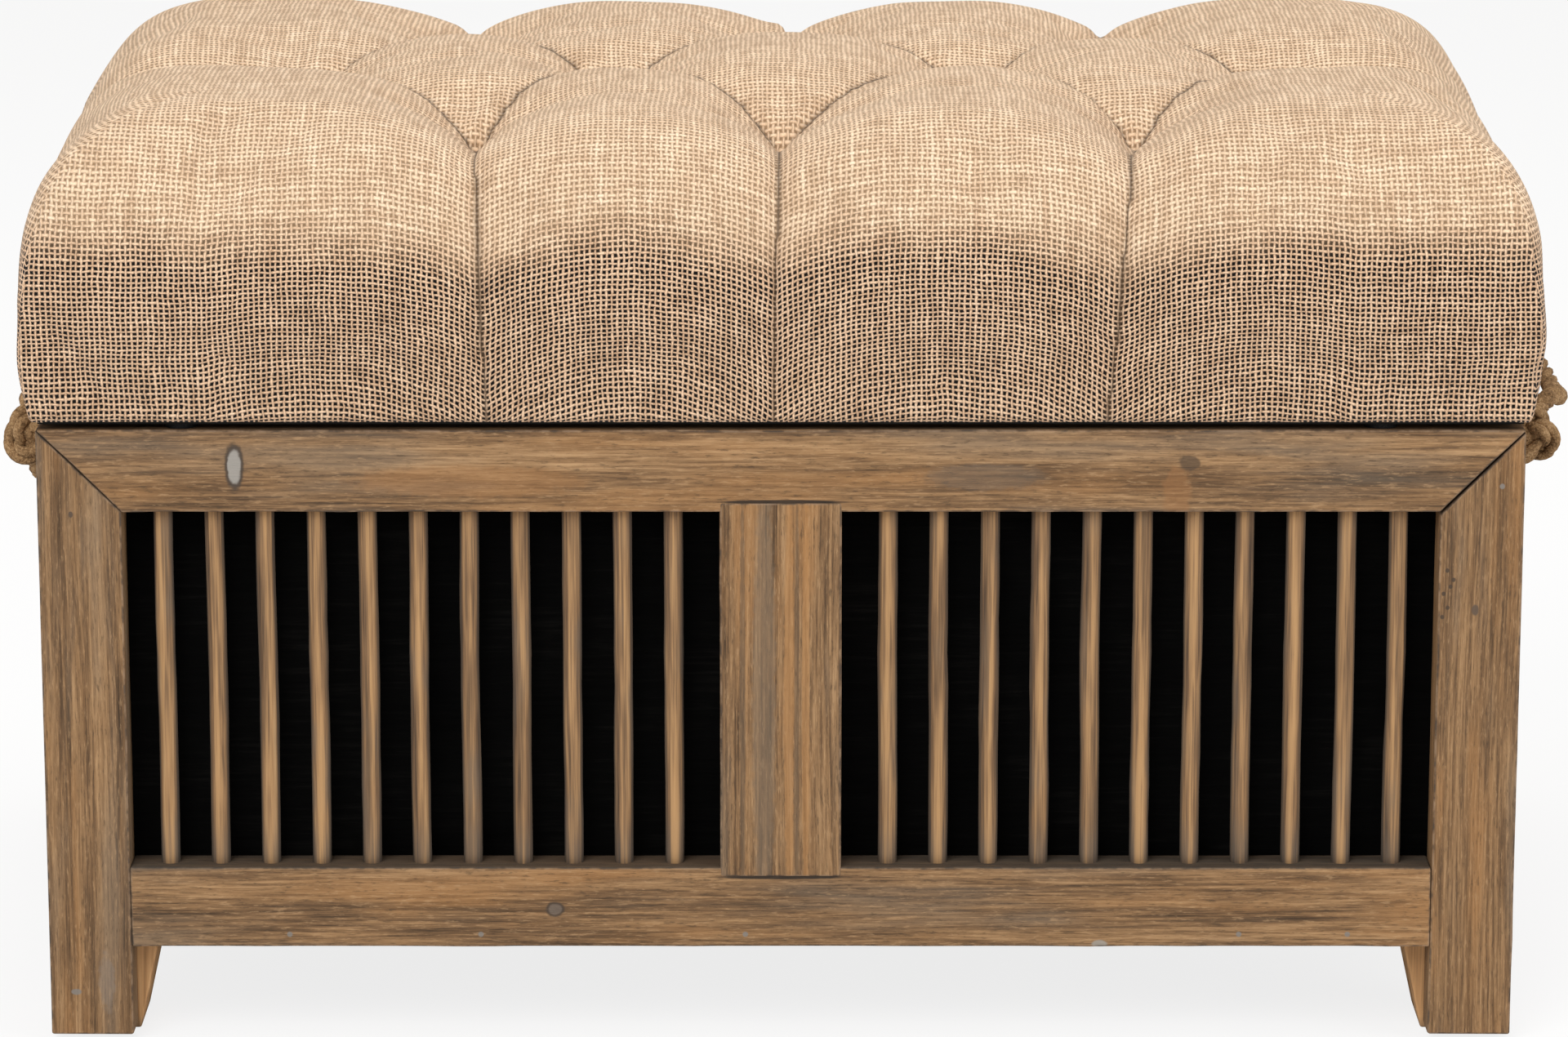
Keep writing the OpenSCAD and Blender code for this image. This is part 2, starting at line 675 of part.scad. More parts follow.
// The grid point nearest to a tuft lies on it
function in_half(d, step) = d > -step / 2 && d <= step / 2;
function at_tuft(p) =
    let (near = [for (t = tufts) if (in_half(p.x - t.x, cell.x) && in_half(p.y - t.y, cell.y)) t])
    len(near) > 0 ? near[0] : p;
function cover_at(i, j) = [i * cell.x - cover_half.x, j * cell.y - cover_half.y];
// Point of the lid board's edge under a point of the hem
function seat_point(p, z) =
    let (base = on_flat(p), share = (p - base) / side_path)
    [base.x + share.x * (board_half.x - flat_half.x), base.y + share.y * (board_half.y - flat_half.y), z];

// Steps round the edge of the grid as [column, row]
rim = concat(
    [for (i = [0 : grid_x]) [i, 0]],
    [for (j = [1 : grid_y]) [grid_x, j]],
    [for (i = [grid_x - 1 : -1 : 0]) [i, grid_y]],
    [for (j = [grid_y - 1 : -1 : 1]) [0, j]]
);
function grid_at(i, j) = j * (grid_x + 1) + i;

module cushion() {
    skin = [for (j = [0 : grid_y]) for (i = [0 : grid_x])
        cushion_point(at_tuft(cover_at(i, j)))];
    seat = [for (z = [hem_z, board_top]) for (c = rim) seat_point(cover_at(c.x, c.y), z)];
    n = len(rim);
    low = len(skin);
    high = low + n;
    middle = high + n;
    // Each square is split along the line from the middle to its corner
    top_faces = [for (j = [0 : grid_y - 1]) for (i = [0 : grid_x - 1])
        let (a = grid_at(i, j), b = grid_at(i, j + 1), rising = (2 * i < grid_x) == (2 * j < grid_y))
        each rising ? [[a, b, b + 1], [a, b + 1, a + 1]] : [[a, b, a + 1], [b, b + 1, a + 1]]];
    seat_faces = [for (k = [0 : n - 1])
        let (m = (k + 1) % n, a = grid_at(rim[k].x, rim[k].y), b = grid_at(rim[m].x, rim[m].y))
        each [[a, b, low + m], [a, low + m, low + k], [low + k, low + m, high + m],
            [low + k, high + m, high + k], [high + k, high + m, middle]]];
    color(burlap) polyhedron(concat(skin, seat, [[0, 0, board_top]]), concat(top_faces, seat_faces));
}

front_left_stile();
front_right_stile();
front_top_rail();
front_bottom_rail();
front_centre_stile();
front_left_bars();
front_right_bars();
back_left_stile();
back_right_stile();
back_top_rail();
back_bottom_rail();
back_centre_stile();
back_left_bars();
back_right_bars();
left_front_stile();
left_back_stile();
left_top_rail();
left_bottom_rail();
left_bars();
right_front_stile();
right_back_stile();
right_top_rail();
right_bottom_rail();
right_bars();
front_left_foot();
front_right_foot();
back_left_foot();
back_right_foot();
floor_board();
floor_cleats();
front_lining();
back_lining();
left_lining();
right_lining();
left_rope();
right_rope();
left_rope_knots();
right_rope_knots();
left_hinge_base();
right_hinge_base();
left_hinge_pin();
right_hinge_pin();
base_screws();
left_hinge_leaf();
right_hinge_leaf();
lid_screws();
stay_anchor();
stay_lower_arm();
stay_upper_arm();
stay_lid_bracket();
lid_board();
cushion();
dust_cover();
tuft_ties();
lid_bumpers();
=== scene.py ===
import math

import bmesh
import bpy
from mathutils import Matrix, Vector, kdtree, noise


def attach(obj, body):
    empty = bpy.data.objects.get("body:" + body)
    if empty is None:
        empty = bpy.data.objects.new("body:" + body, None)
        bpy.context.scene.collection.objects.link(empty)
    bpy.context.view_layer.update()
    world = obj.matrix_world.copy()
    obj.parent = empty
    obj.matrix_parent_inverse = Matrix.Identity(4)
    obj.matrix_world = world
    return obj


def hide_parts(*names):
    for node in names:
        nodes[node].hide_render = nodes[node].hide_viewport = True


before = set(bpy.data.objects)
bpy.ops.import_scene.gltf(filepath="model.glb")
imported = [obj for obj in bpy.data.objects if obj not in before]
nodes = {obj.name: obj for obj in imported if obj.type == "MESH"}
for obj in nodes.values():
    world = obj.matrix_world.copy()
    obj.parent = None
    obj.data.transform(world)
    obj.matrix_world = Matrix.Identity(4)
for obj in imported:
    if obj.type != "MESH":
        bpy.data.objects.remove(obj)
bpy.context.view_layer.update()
scene = bpy.context.scene
scene.view_settings.view_transform = "Standard"
# without a seed the unevenness of the wood changes from run to run
noise.seed_set(4)


# camera, floor and lamps

photo = {"place": (0.00137, -2.6428, 0.79165), "tilt": 77.014, "lens": 138.05, "sensor": 36}
stage = {"aim": (0, 0, 0.25), "sky": (1.0, 0.99, 0.97), "skyStrength": 0.5,
         "floor": (0.86, 0.85, 0.84), "floorRough": 0.9, "floorGlow": 0.82, "floorHalf": 14}

cameraData = bpy.data.cameras.new("photoCamera")
cameraData.sensor_fit = "HORIZONTAL"
cameraData.sensor_width = photo["sensor"]
cameraData.lens = photo["lens"]
camera = bpy.data.objects.new("photoCamera", cameraData)
camera.location = photo["place"]
camera.rotation_euler = (math.radians(photo["tilt"]), 0, 0)
scene.collection.objects.link(camera)
scene.camera = camera

lamps = [
    {"name": "keySoftbox", "place": (-1.3, -2.7, 2.7), "size": 2.2, "watts": 89},
    {"name": "topSoftbox", "place": (0.4, 0.3, 2.9), "size": 2.4, "watts": 38.5},
    {"name": "rightFill", "place": (2.6, -1.6, 1.3), "size": 1.6, "watts": 28},
]
for lamp in lamps:
    light = bpy.data.lights.new(lamp["name"], "AREA")
    light.size = lamp["size"]
    light.energy = lamp["watts"]
    holder = bpy.data.objects.new(lamp["name"], light)
    holder.location = lamp["place"]
    aim = Vector(stage["aim"]) - Vector(lamp["place"])
    holder.rotation_euler = aim.to_track_quat("-Z", "Y").to_euler()
    scene.collection.objects.link(holder)

world = bpy.data.worlds.new("studio")
world.use_nodes = True
sky = world.node_tree.nodes["Background"]
sky.inputs["Color"].default_value = (*stage["sky"], 1)
sky.inputs["Strength"].default_value = stage["skyStrength"]
scene.world = world


# shader maths on wrapped sockets

class Wire:
    def __init__(self, paint, socket):
        self.paint, self.socket = paint, socket

    def math(self, operation, *others):
        return self.paint.node("Math", {"operation": operation}, dict(enumerate((self,) + others)))

    def after(self, operation, first):
        return self.paint.node("Math", {"operation": operation}, {0: first, 1: self})

    def __add__(self, other): return self.math("ADD", other)
    def __radd__(self, other): return self.math("ADD", other)
    def __sub__(self, other): return self.math("SUBTRACT", other)
    def __rsub__(self, other): return self.after("SUBTRACT", other)
    def __mul__(self, other): return self.math("MULTIPLY", other)
    def __rmul__(self, other): return self.math("MULTIPLY", other)
    def __truediv__(self, other): return self.math("DIVIDE", other)
    def __pow__(self, other): return self.math("POWER", other)
    def __abs__(self): return self.math("ABSOLUTE")

    def most(self, other): return self.math("MAXIMUM", other)
    def floor(self): return self.math("FLOOR")
    def fract(self): return self.math("FRACT")

    # smooth rise from 0 at low to 1 at high, either way round
    def rise(self, low, high):
        return self.paint.node("MapRange", {"interpolation_type": "SMOOTHSTEP"},
                               {0: self, 1: low, 2: high, 3: 0, 4: 1})


class Paint:
    def __init__(self, name, slot):
        self.material = bpy.data.materials.new(name)
        self.material.use_nodes = True
        self.tree = self.material.node_tree
        self.shader = self.tree.nodes["Principled BSDF"]
        self.slot = slot

    def node(self, kind, settings=None, inputs=None, out=0):
        made = self.tree.nodes.new("ShaderNode" + kind)
        for key, value in (settings or {}).items():
            if key == "stops":
                for stop in range(len(value) - 2):
                    made.color_ramp.elements.new(0.5)
                for element, (place, colour) in zip(made.color_ramp.elements, value):
                    element.position, element.color = place, (*colour, 1)
            else:
                setattr(made, key, value)
        for key, value in (inputs or {}).items():
            if isinstance(value, Wire):
                self.tree.links.new(value.socket, made.inputs[key])
            else:
                made.inputs[key].default_value = value
        return Wire(self, made.outputs[out])

    def parts(self, vector):
        first = self.node("SeparateXYZ", {}, {0: vector})
        return [Wire(self, socket) for socket in first.socket.node.outputs]

    def vector(self, x, y, z):
        return self.node("CombineXYZ", {}, {0: x, 1: y, 2: z})

    def place(self):
        return self.node("TexCoord", {}, {}, "Object")

    def noise(self, vector, scale, detail=2.0, rough=0.5):
        return self.node("TexNoise", {}, {"Vector": vector, "Scale": scale, "Detail": detail,
                                          "Roughness": rough})

    def attribute(self, name):
        return self.node("Attribute", {"attribute_name": name}, {}, "Fac")

    def mix(self, share, first, second, how="MIX"):
        colours = [c if isinstance(c, Wire) else (*c, 1) for c in (first, second)]
        return self.node("Mix", {"data_type": "RGBA", "blend_type": how, "clamp_factor": True},
                         {0: share, 6: colours[0], 7: colours[1]}, 2)

    def ramp(self, value, stops):
        return self.node("ValToRGB", {"stops": stops}, {0: value})

    # links what changes over the surface, sets what doesn't
    def finish(self, colour, rough, height=None, depth=0.001, **fixed):
        for key, value in (("Base Color", colour), ("Roughness", rough)):
            if isinstance(value, Wire):
                self.tree.links.new(value.socket, self.shader.inputs[key])
            else:
                self.shader.inputs[key].default_value = (*value, 1) if key == "Base Color" else value
        if height is not None:
            bump = self.node("Bump", {}, {"Strength": 1.0, "Distance": depth, "Height": height})
            self.tree.links.new(bump.socket, self.shader.inputs["Normal"])
        for key, value in fixed.items():
            self.shader.inputs[key.replace("_", " ")].default_value = value
        return self


# a finished piece: its mesh, paint, body and the nodes it stands for

def addPiece(name, bm, paint, body, stands):
    mesh = bpy.data.meshes.new(name)
    for face in bm.faces:
        face.smooth = True
    bm.to_mesh(mesh)
    bm.free()
    return placeMesh(name, mesh, paint, body, stands)


# a new piece is named after the node it stands for
def pieceName(node):
    first, *rest = node.split("_")
    return first + "".join(word.capitalize() for word in rest)


def placeMesh(name, mesh, paint, body, stands):
    piece = bpy.data.objects.new(name, mesh)
    scene.collection.objects.link(piece)
    mesh.materials.clear()
    mesh.materials.append(paint.material)
    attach(piece, body)
    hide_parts(*stands)
    return piece


floorPaint = bpy.data.materials.new("paleFloor")
floorPaint.use_nodes = True
floorTree = floorPaint.node_tree
floorShader = floorTree.nodes["Principled BSDF"]
floorShader.inputs["Base Color"].default_value = (*stage["floor"], 1)
floorShader.inputs["Roughness"].default_value = stage["floorRough"]
glow = floorTree.nodes.new("ShaderNodeEmission")
rays = floorTree.nodes.new("ShaderNodeLightPath")
share = floorTree.nodes.new("ShaderNodeMath")
share.operation = "MULTIPLY"
share.inputs[1].default_value = stage["floorGlow"]
blendFloor = floorTree.nodes.new("ShaderNodeMixShader")
floorTree.links.new(rays.outputs["Is Camera Ray"], share.inputs[0])
floorTree.links.new(share.outputs[0], blendFloor.inputs[0])
floorTree.links.new(floorShader.outputs[0], blendFloor.inputs[1])
floorTree.links.new(glow.outputs[0], blendFloor.inputs[2])
floorTree.links.new(blendFloor.outputs[0], floorTree.nodes["Material Output"].inputs[0])
floorMesh = bmesh.new()
bmesh.ops.create_grid(floorMesh, x_segments=1, y_segments=1, size=stage["floorHalf"])
floorData = bpy.data.meshes.new("floor")
floorMesh.to_mesh(floorData)
floorMesh.free()
floorData.materials.append(floorPaint)
floor = bpy.data.objects.new("floor", floorData)
scene.collection.objects.link(floor)
print("stage: camera, lamps and floor")


# rope handles: three-strand jute, knotted outside and inside each hole

rope = {
    "thick": 0.008, "strand": 0.54, "turn": 0.026, "side": 0.310,
    "left": [(13, -97, 246), (15, -92, 252), (17, -84, 255), (18, -75, 252), (19, -67, 244), (20, -59, 234),
             (20, -50, 225), (20, -40, 217), (20, -28, 211), (20, -14, 207), (20, 0, 206)],
    "right": [(13, -97, 246), (16, -93, 250), (20, -87, 253), (24, -79, 254), (28, -69, 254), (31, -57, 251),
              (33, -44, 248), (35, -30, 245), (36, -15, 243), (36, 0, 242)],
    "holeY": 0.0971, "holeZ": 0.242, "wall": 0.022, "leans": (0.5, 1.3), "routeSteps": 8,
    "spread": 0.58, "knotSteps": 96, "shankSteps": 40, "shankShare": 0.98,
    "outerKnot": (0.0060, 0.0042), "outerShare": 1.14, "outerOff": 0.0135,
    "innerKnot": (0.0045, 0.0030), "innerShare": 0.95, "innerOff": 0.0108,
}


def jutePaint():
    paint = Paint("juteRope", "jute")
    at = paint.place()
    hairs = paint.noise(at, 900, 3, 0.7)
    patches = paint.noise(at, 90, 2)
    colour = paint.ramp(hairs * 0.6 + patches * 0.4, [
        (0.32, (0.075, 0.040, 0.018)), (0.44, (0.22, 0.125, 0.056)), (0.56, (0.41, 0.250, 0.120)),
        (0.70, (0.66, 0.445, 0.245))])
    return paint.finish(colour, 0.92, hairs, 0.0012, Specular_IOR_Level=0.2)


juteFinish = jutePaint()


# a smooth curve through the points, which it passes in even steps
def smoothLine(points, steps):
    last = len(points) - 1
    line = []
    for i in range(last):
        a, b, c, d = (points[min(max(k, 0), last)] for k in range(i - 1, i + 3))
        for step in range(steps):
            t = step / steps
            line.append(0.5 * (2 * b + (c - a) * t + (2 * a - 5 * b + 4 * c - d) * t * t
                               + (3 * b - a - 3 * c + d) * t ** 3))
    return line + [points[-1].copy()]


def lineLength(line):
    return sum((b - a).length for a, b in zip(line, line[1:]))


# three strands wound round a line, as curves turned into one mesh
def layRope(line, thick, closed=False):
    curve = bpy.data.curves.new("strands", "CURVE")
    curve.dimensions = "3D"
    curve.bevel_depth = thick * rope["strand"] / 2
    curve.bevel_resolution = 2
    curve.use_fill_caps = not closed
    reach = thick * (1 - rope["strand"]) * rope["spread"]
    count = len(line)
    turns = max(1, round(lineLength(line) / rope["turn"])) * 2 * math.pi
    ways = [(line[(i + 1) % count if closed else min(i + 1, count - 1)]
             - line[(i - 1) % count if closed else max(i - 1, 0)]).normalized() for i in range(count)]
    sideways = ways[0].orthogonal().normalized()
    frames = []
    for way in ways:
        sideways = (sideways - way * sideways.dot(way)).normalized()
        frames.append((sideways.copy(), way.cross(sideways)))
    for strand in range(3):
        spline = curve.splines.new("POLY")
        spline.points.add(count - 1)
        spline.use_cyclic_u = closed
        for i, (point, (a, b)) in enumerate(zip(line, frames)):
            angle = turns * i / (count if closed else count - 1) + strand * 2 * math.pi / 3
            off = (a * math.cos(angle) + b * math.sin(angle)) * reach
            spline.points[i].co = (*(point + off), 1)
    holder = bpy.data.objects.new("strands", curve)
    scene.collection.objects.link(holder)
    bpy.context.view_layer.update()
    mesh = bpy.data.meshes.new_from_object(holder.evaluated_get(bpy.context.evaluated_depsgraph_get()))
    bpy.data.objects.remove(holder)
    bpy.data.curves.remove(curve)
    return mesh


def trefoil(centre, size, lean):
    wide, tube = size
    turn = Matrix.Rotation(lean, 3, "Y") @ Matrix.Rotation(math.pi / 2, 3, "X")
    line = []
    for i in range(rope["knotSteps"]):
        t = 2 * math.pi * i / rope["knotSteps"]
        reach = wide + tube * math.cos(3 * t)
        spot = Vector((reach * math.cos(2 * t), reach * math.sin(2 * t), tube * math.sin(3 * t)))
        line.append(centre + turn @ spot)
    return line


def knotPieces(side, sign):
    bm = bmesh.new()
    steps = rope["shankSteps"]
    for y, lean in zip((-rope["holeY"], rope["holeY"]), rope["leans"]):
        outer = Vector((sign * (rope["side"] + rope["outerOff"]), y, rope["holeZ"]))
        inner = Vector((sign * (rope["side"] - rope["wall"] - rope["innerOff"]), y, rope["holeZ"]))
        shank = [outer.lerp(inner, i / steps) for i in range(steps + 1)]
        for line, share, closed in (
                (trefoil(outer, rope["outerKnot"], lean), rope["outerShare"], True),
                (trefoil(inner, rope["innerKnot"], lean), rope["innerShare"], True),
                (shank, rope["shankShare"], False)):
            lump = layRope(line, rope["thick"] * share, closed)
            bm.from_mesh(lump)
            bpy.data.meshes.remove(lump)
    return addPiece(side + "RopeKnots", bm, juteFinish, "crate", [side + "_rope_knots"])


def ropeHandle(side, sign):
    half = [Vector((sign * (rope["side"] + x / 1000), y / 1000, z / 1000)) for x, y, z in rope[side]]
    route = half + [Vector((p.x, -p.y, p.z)) for p in reversed(half[:-1])]
    line = smoothLine(route, rope["routeSteps"])
    laid = layRope(line, rope["thick"])
    piece = placeMesh(side + "RopeHandle", laid, juteFinish, "crate", [side + "_rope"])
    for polygon in piece.data.polygons:
        polygon.use_smooth = True
    knots = knotPieces(side, sign)
    lineLength(line)
    print("rope:", side, round(lineLength(line), 4), "m")


ropeHandle("left", -1)
ropeHandle("right", 1)


# weathered fir: grain along one axis, grey and orange patches, worn edges, knots

def firPaint(name, along, seed, spots=(), tone=1.0):
    paint = Paint(name, "weathered_fir")
    axes = dict(zip("xyz", paint.parts(paint.place())))
    long = axes.pop(along) + seed * 3.7
    across, depth = axes.values()
    drift = paint.noise(paint.vector(long * 3.0, across * 14, depth * 14 + seed), 1, 1) - 0.5
    wander = across + drift * 0.012
    bands = paint.noise(paint.vector(long * 1.6, wander * 110, depth * 60 + seed), 1, 3, 0.6)
    fibres = paint.noise(paint.vector(long * 22, wander * 780, depth * 700 + seed), 1, 4, 0.7)
    patches = paint.noise(paint.vector(long * 5, across * 55, depth * 40 + seed * 2), 1, 3, 0.6)
    flecks = paint.noise(paint.vector(long * 150, wander * 1000, depth * 900 + seed), 1, 3, 0.7)
    wood = paint.ramp(bands * 0.42 + fibres * 0.58, [
        (place, tuple(tone * part for part in colour)) for place, colour in (
            (0.36, (0.050, 0.028, 0.013)), (0.46, (0.155, 0.085, 0.039)), (0.54, (0.265, 0.150, 0.068)),
            (0.66, (0.43, 0.262, 0.130)))])
    orange = paint.mix(patches.rise(0.50, 0.68) * 0.5, wood, (0.36, 0.178, 0.064))
    grey = paint.mix((1 - patches).rise(0.50, 0.68) * 0.5, orange, (0.160, 0.122, 0.086))
    lit = paint.mix((1 - flecks).rise(0.54, 0.70) * 0.45, grey, (0.44, 0.275, 0.140))
    colour = paint.mix(flecks.rise(0.55, 0.70) * 0.6, lit, (0.055, 0.035, 0.020))
    height = bands * 0.2 + fibres * 0.5 + flecks * 0.3
    x, y, z = paint.parts(paint.place())
    for spot in spots:
        cx, cz = spot["at"]
        rx, rz = spot["size"]
        ragged = (paint.noise(paint.place(), 260, 3) - 0.5) * spot.get("ragged", 0.5)
        away = (((x - cx) / rx) ** 2 + ((z - cz) / rz) ** 2) ** 0.5 + ragged
        inside = 1 - away.rise(0.75, 1.15)
        colour = paint.mix(inside * spot.get("share", 0.9), colour, spot["colour"])
        rim = away.rise(0.7, 0.95) * (1 - away.rise(1.0, 1.35))
        colour = paint.mix(rim * spot.get("rim", 0.0), colour, (0.05, 0.035, 0.025))
    worn = paint.attribute("wear")
    scuffs = paint.noise(paint.place(), 120, 3, 0.6)
    colour = paint.mix(worn * scuffs.rise(0.42, 0.62) * 0.6, colour, (0.28, 0.195, 0.130))
    colour = paint.mix(worn * (1 - scuffs).rise(0.44, 0.62) * 0.8, colour, (0.070, 0.054, 0.042))
    if "BottomRail" in name:
        ledge = (z - railLow + 0.0009).rise(0.0, 0.0007)
        colour = paint.mix(ledge * 0.8, colour, (0.040, 0.033, 0.026))
    colour = paint.mix(paint.attribute("joint") * 0.7, colour, (0.016, 0.011, 0.008))
    rough = 0.66 + flecks * 0.25
    return paint.finish(colour, rough, height, 0.0009, Specular_IOR_Level=0.3)


crate = {
    "width": 0.620, "depth": 0.400, "height": 0.266, "stockW": 0.035, "stockT": 0.019, "leg": 0.042,
    "lift": 0.003, "centreW": 0.051, "housing": 0.004, "edge": 0.0011, "proud": 0.0004, "slice": 0.014,
    "uneven": 0.00035, "unevenScale": 45, "flatShare": 0.35, "openMitre": 0.0011, "jointLine": 0.0003,
}
bars = {
    "thick": 0.008, "inBay": 11, "inSide": 13, "innerMargin": 0.0195, "outerMargin": 0.0165, "socket": 0.010,
    "sides": 16, "slices": 12, "lumps": 0.10, "lumpScale": 60, "bow": (0.0010, 0.0008), "bowScale": 1.6,
}
sides = {
    "front": Matrix.Translation((0, -crate["depth"] / 2, 0)),
    "back": Matrix.Rotation(math.pi, 4, "Z") @ Matrix.Translation((0, -crate["depth"] / 2, 0)),
    "left": Matrix.Rotation(-math.pi / 2, 4, "Z") @ Matrix.Translation((0, -crate["width"] / 2, 0)),
    "right": Matrix.Rotation(math.pi / 2, 4, "Z") @ Matrix.Translation((0, -crate["width"] / 2, 0)),
}
railLow = crate["leg"] + crate["stockW"]
railHigh = crate["height"] - crate["stockW"]


# a board from its outline on the outer face, with rounded, slightly uneven edges
def sawnBoard(node, outline, joints, side, along, seed, spots=(), tone=1.0):
    bm = bmesh.new()
    face = bm.faces.new([bm.verts.new((x, 0, z)) for x, z in outline])
    pushed = bmesh.ops.extrude_face_region(bm, geom=[face])["geom"]
    pushed = [v for v in pushed if isinstance(v, bmesh.types.BMVert)]
    bmesh.ops.translate(bm, vec=(0, crate["stockT"], 0), verts=pushed)
    bmesh.ops.recalc_face_normals(bm, faces=bm.faces[:])
    wear, joint = (bm.verts.layers.float.new(name) for name in ("wear", "joint"))
    cut = bmesh.ops.bevel(bm, geom=bm.edges[:], offset=crate["edge"], segments=3, profile=0.5,
                          affect="EDGES", material=-1)
    rounded = set(cut["faces"])
    for vert in bm.verts:
        vert[wear] = 1.0 if all(f in rounded for f in vert.link_faces) else 0.0
        for k in joints:
            (x0, z0), (x1, z1) = outline[k], outline[(k + 1) % 4]
            off = (vert.co.x - x0) * (z1 - z0) - (vert.co.z - z0) * (x1 - x0)
            if abs(off) / math.hypot(x1 - x0, z1 - z0) < crate["edge"] * crate["flatShare"]:
                vert[joint] = 1.0
    axis = 0 if along in "xy" else 2
    low, high = (f(v.co[axis] for v in bm.verts) for f in (min, max))
    normal = Vector((1, 0, 0)) if axis == 0 else Vector((0, 0, 1))
    for i in range(1, int((high - low) / crate["slice"])):
        bmesh.ops.bisect_plane(bm, geom=bm.verts[:] + bm.edges[:] + bm.faces[:], dist=1e-6,
                               plane_co=normal * (low + i * crate["slice"]), plane_no=normal)
    for vert in bm.verts:
        shake = noise.noise_vector(vert.co * crate["unevenScale"] + Vector((seed * 9, 0, 0)))
        vert.co += shake * crate["uneven"] * (crate["flatShare"] + vert[wear])
    if "centre" in node:
        bmesh.ops.translate(bm, vec=(0, -crate["proud"], 0), verts=bm.verts[:])
    bmesh.ops.transform(bm, matrix=sides[side], verts=bm.verts[:])
    name = pieceName(node)
    piece = addPiece(name, bm, firPaint(name, along, seed, spots, tone), "crate", [node])
    piece.modifiers.new("normals", "WEIGHTED_NORMAL").keep_sharp = True
    return piece


def stileOutline(half, end, gap=0.0):
    outer, inner = end * half, end * (half - crate["stockW"])
    return [(outer, crate["lift"]), (inner, crate["lift"]),
            (inner, railHigh - gap), (outer, crate["height"] - gap)]


def topOutline(half):
    inset = half - crate["stockW"]
    return [(-inset, railHigh), (inset, railHigh), (half, crate["height"]), (-half, crate["height"])]


def bottomOutline(half):
    inset = half - crate["stockW"]
    return [(-inset, crate["leg"]), (inset, crate["leg"]), (inset, railLow), (-inset, railLow)]


frontHalf = crate["width"] / 2
sideHalf = crate["depth"] / 2 - crate["stockT"]
stileHalf = crate["centreW"] / 2
centreOutline = [(-stileHalf, railLow - crate["housing"]), (stileHalf, railLow - crate["housing"]),
                 (stileHalf, railHigh + crate["housing"]), (-stileHalf, railHigh + crate["housing"])]

# knots, fillings, nail heads and worm holes on the front boards, as places across and up
darkKnot = (0.060, 0.040, 0.026)
greyFill = (0.30, 0.285, 0.26)
nailGrey = (0.20, 0.18, 0.16)
orangeStripe = (0.40, 0.200, 0.072)
jointDark = (0.014, 0.011, 0.009)
frontSpots = {
    "front_top_rail": [
        {"at": (-0.2275, 0.2505), "size": (0.0034, 0.0086), "colour": greyFill, "rim": 0.9},
        {"at": (0.1700, 0.2520), "size": (0.0048, 0.0034), "colour": darkKnot, "ragged": 0.9, "share": 0.7},
        {"at": (0.1650, 0.2390), "size": (0.0060, 0.0120), "colour": (0.27, 0.125, 0.046), "ragged": 1.1,
         "share": 0.45},
        {"at": (0.0850, 0.2460), "size": (0.0260, 0.0060), "colour": (0.12, 0.092, 0.068), "share": 0.5},
        {"at": (-0.1300, 0.2440), "size": (0.0500, 0.0070), "colour": (0.31, 0.150, 0.055), "share": 0.45},
    ],
    "front_bottom_rail": [
        {"at": (-0.0955, 0.0585), "size": (0.0034, 0.0028), "colour": (0.13, 0.100, 0.078), "rim": 0.8},
        {"at": (0.1350, 0.0432), "size": (0.0034, 0.0018), "colour": (0.30, 0.27, 0.23), "ragged": 0.3},
    ] + [{"at": (x, 0.0475), "size": (0.0012, 0.0012), "colour": nailGrey, "ragged": 0.2}
         for x in (-0.2080, -0.1270, -0.0150, 0.1940, 0.2400)],
    "front_centre_stile": [
        {"at": (x, 0.15), "size": (wide, 0.10), "colour": colour, "ragged": 0.7, "share": 0.5}
        for x, wide, colour in (
            (0.0035, 0.0022, orangeStripe), (0.0105, 0.0016, orangeStripe),
            (-0.0160, 0.0012, (0.10, 0.070, 0.045)), (0.0068, 0.0010, (0.10, 0.066, 0.040)),
            (-0.0070, 0.0050, (0.185, 0.135, 0.090)))],
    "front_right_stile": [
        {"at": (x, z), "size": (0.0009, 0.0010), "colour": darkKnot, "ragged": 0.2}
        for x, z in ((0.2785, 0.206), (0.2800, 0.199), (0.2772, 0.196), (0.2790, 0.190),
                     (0.2768, 0.186), (0.2812, 0.202))
    ] + [
        {"at": (0.2905, 0.189), "size": (0.0016, 0.0024), "colour": (0.10, 0.07, 0.05)},
        {"at": (0.3005, 0.242), "size": (0.0011, 0.0012), "colour": nailGrey, "ragged": 0.2},
    ],
    "front_left_stile": [
        {"at": (-0.2960, 0.2300), "size": (0.0010, 0.0014), "colour": (0.08, 0.055, 0.04)},
        {"at": (-0.2990, 0.0220), "size": (0.0022, 0.0014), "colour": nailGrey},
        {"at": (-0.2860, 0.0260), "size": (0.0034, 0.0130), "colour": (0.215, 0.180, 0.150), "ragged": 1.0,
         "share": 0.4},
    ],
}

# dark line where a centre stile is let into a rail
housingEnd = crate["housing"] + crate["jointLine"]
for side in ("front", "back"):
    for rail, z in (("_top_rail", railHigh + housingEnd), ("_bottom_rail", railLow - housingEnd)):
        frontSpots.setdefault(side + rail, []).append(
            {"at": (0.0, z), "size": (0.0275, 0.0010), "colour": jointDark, "ragged": 0.25})

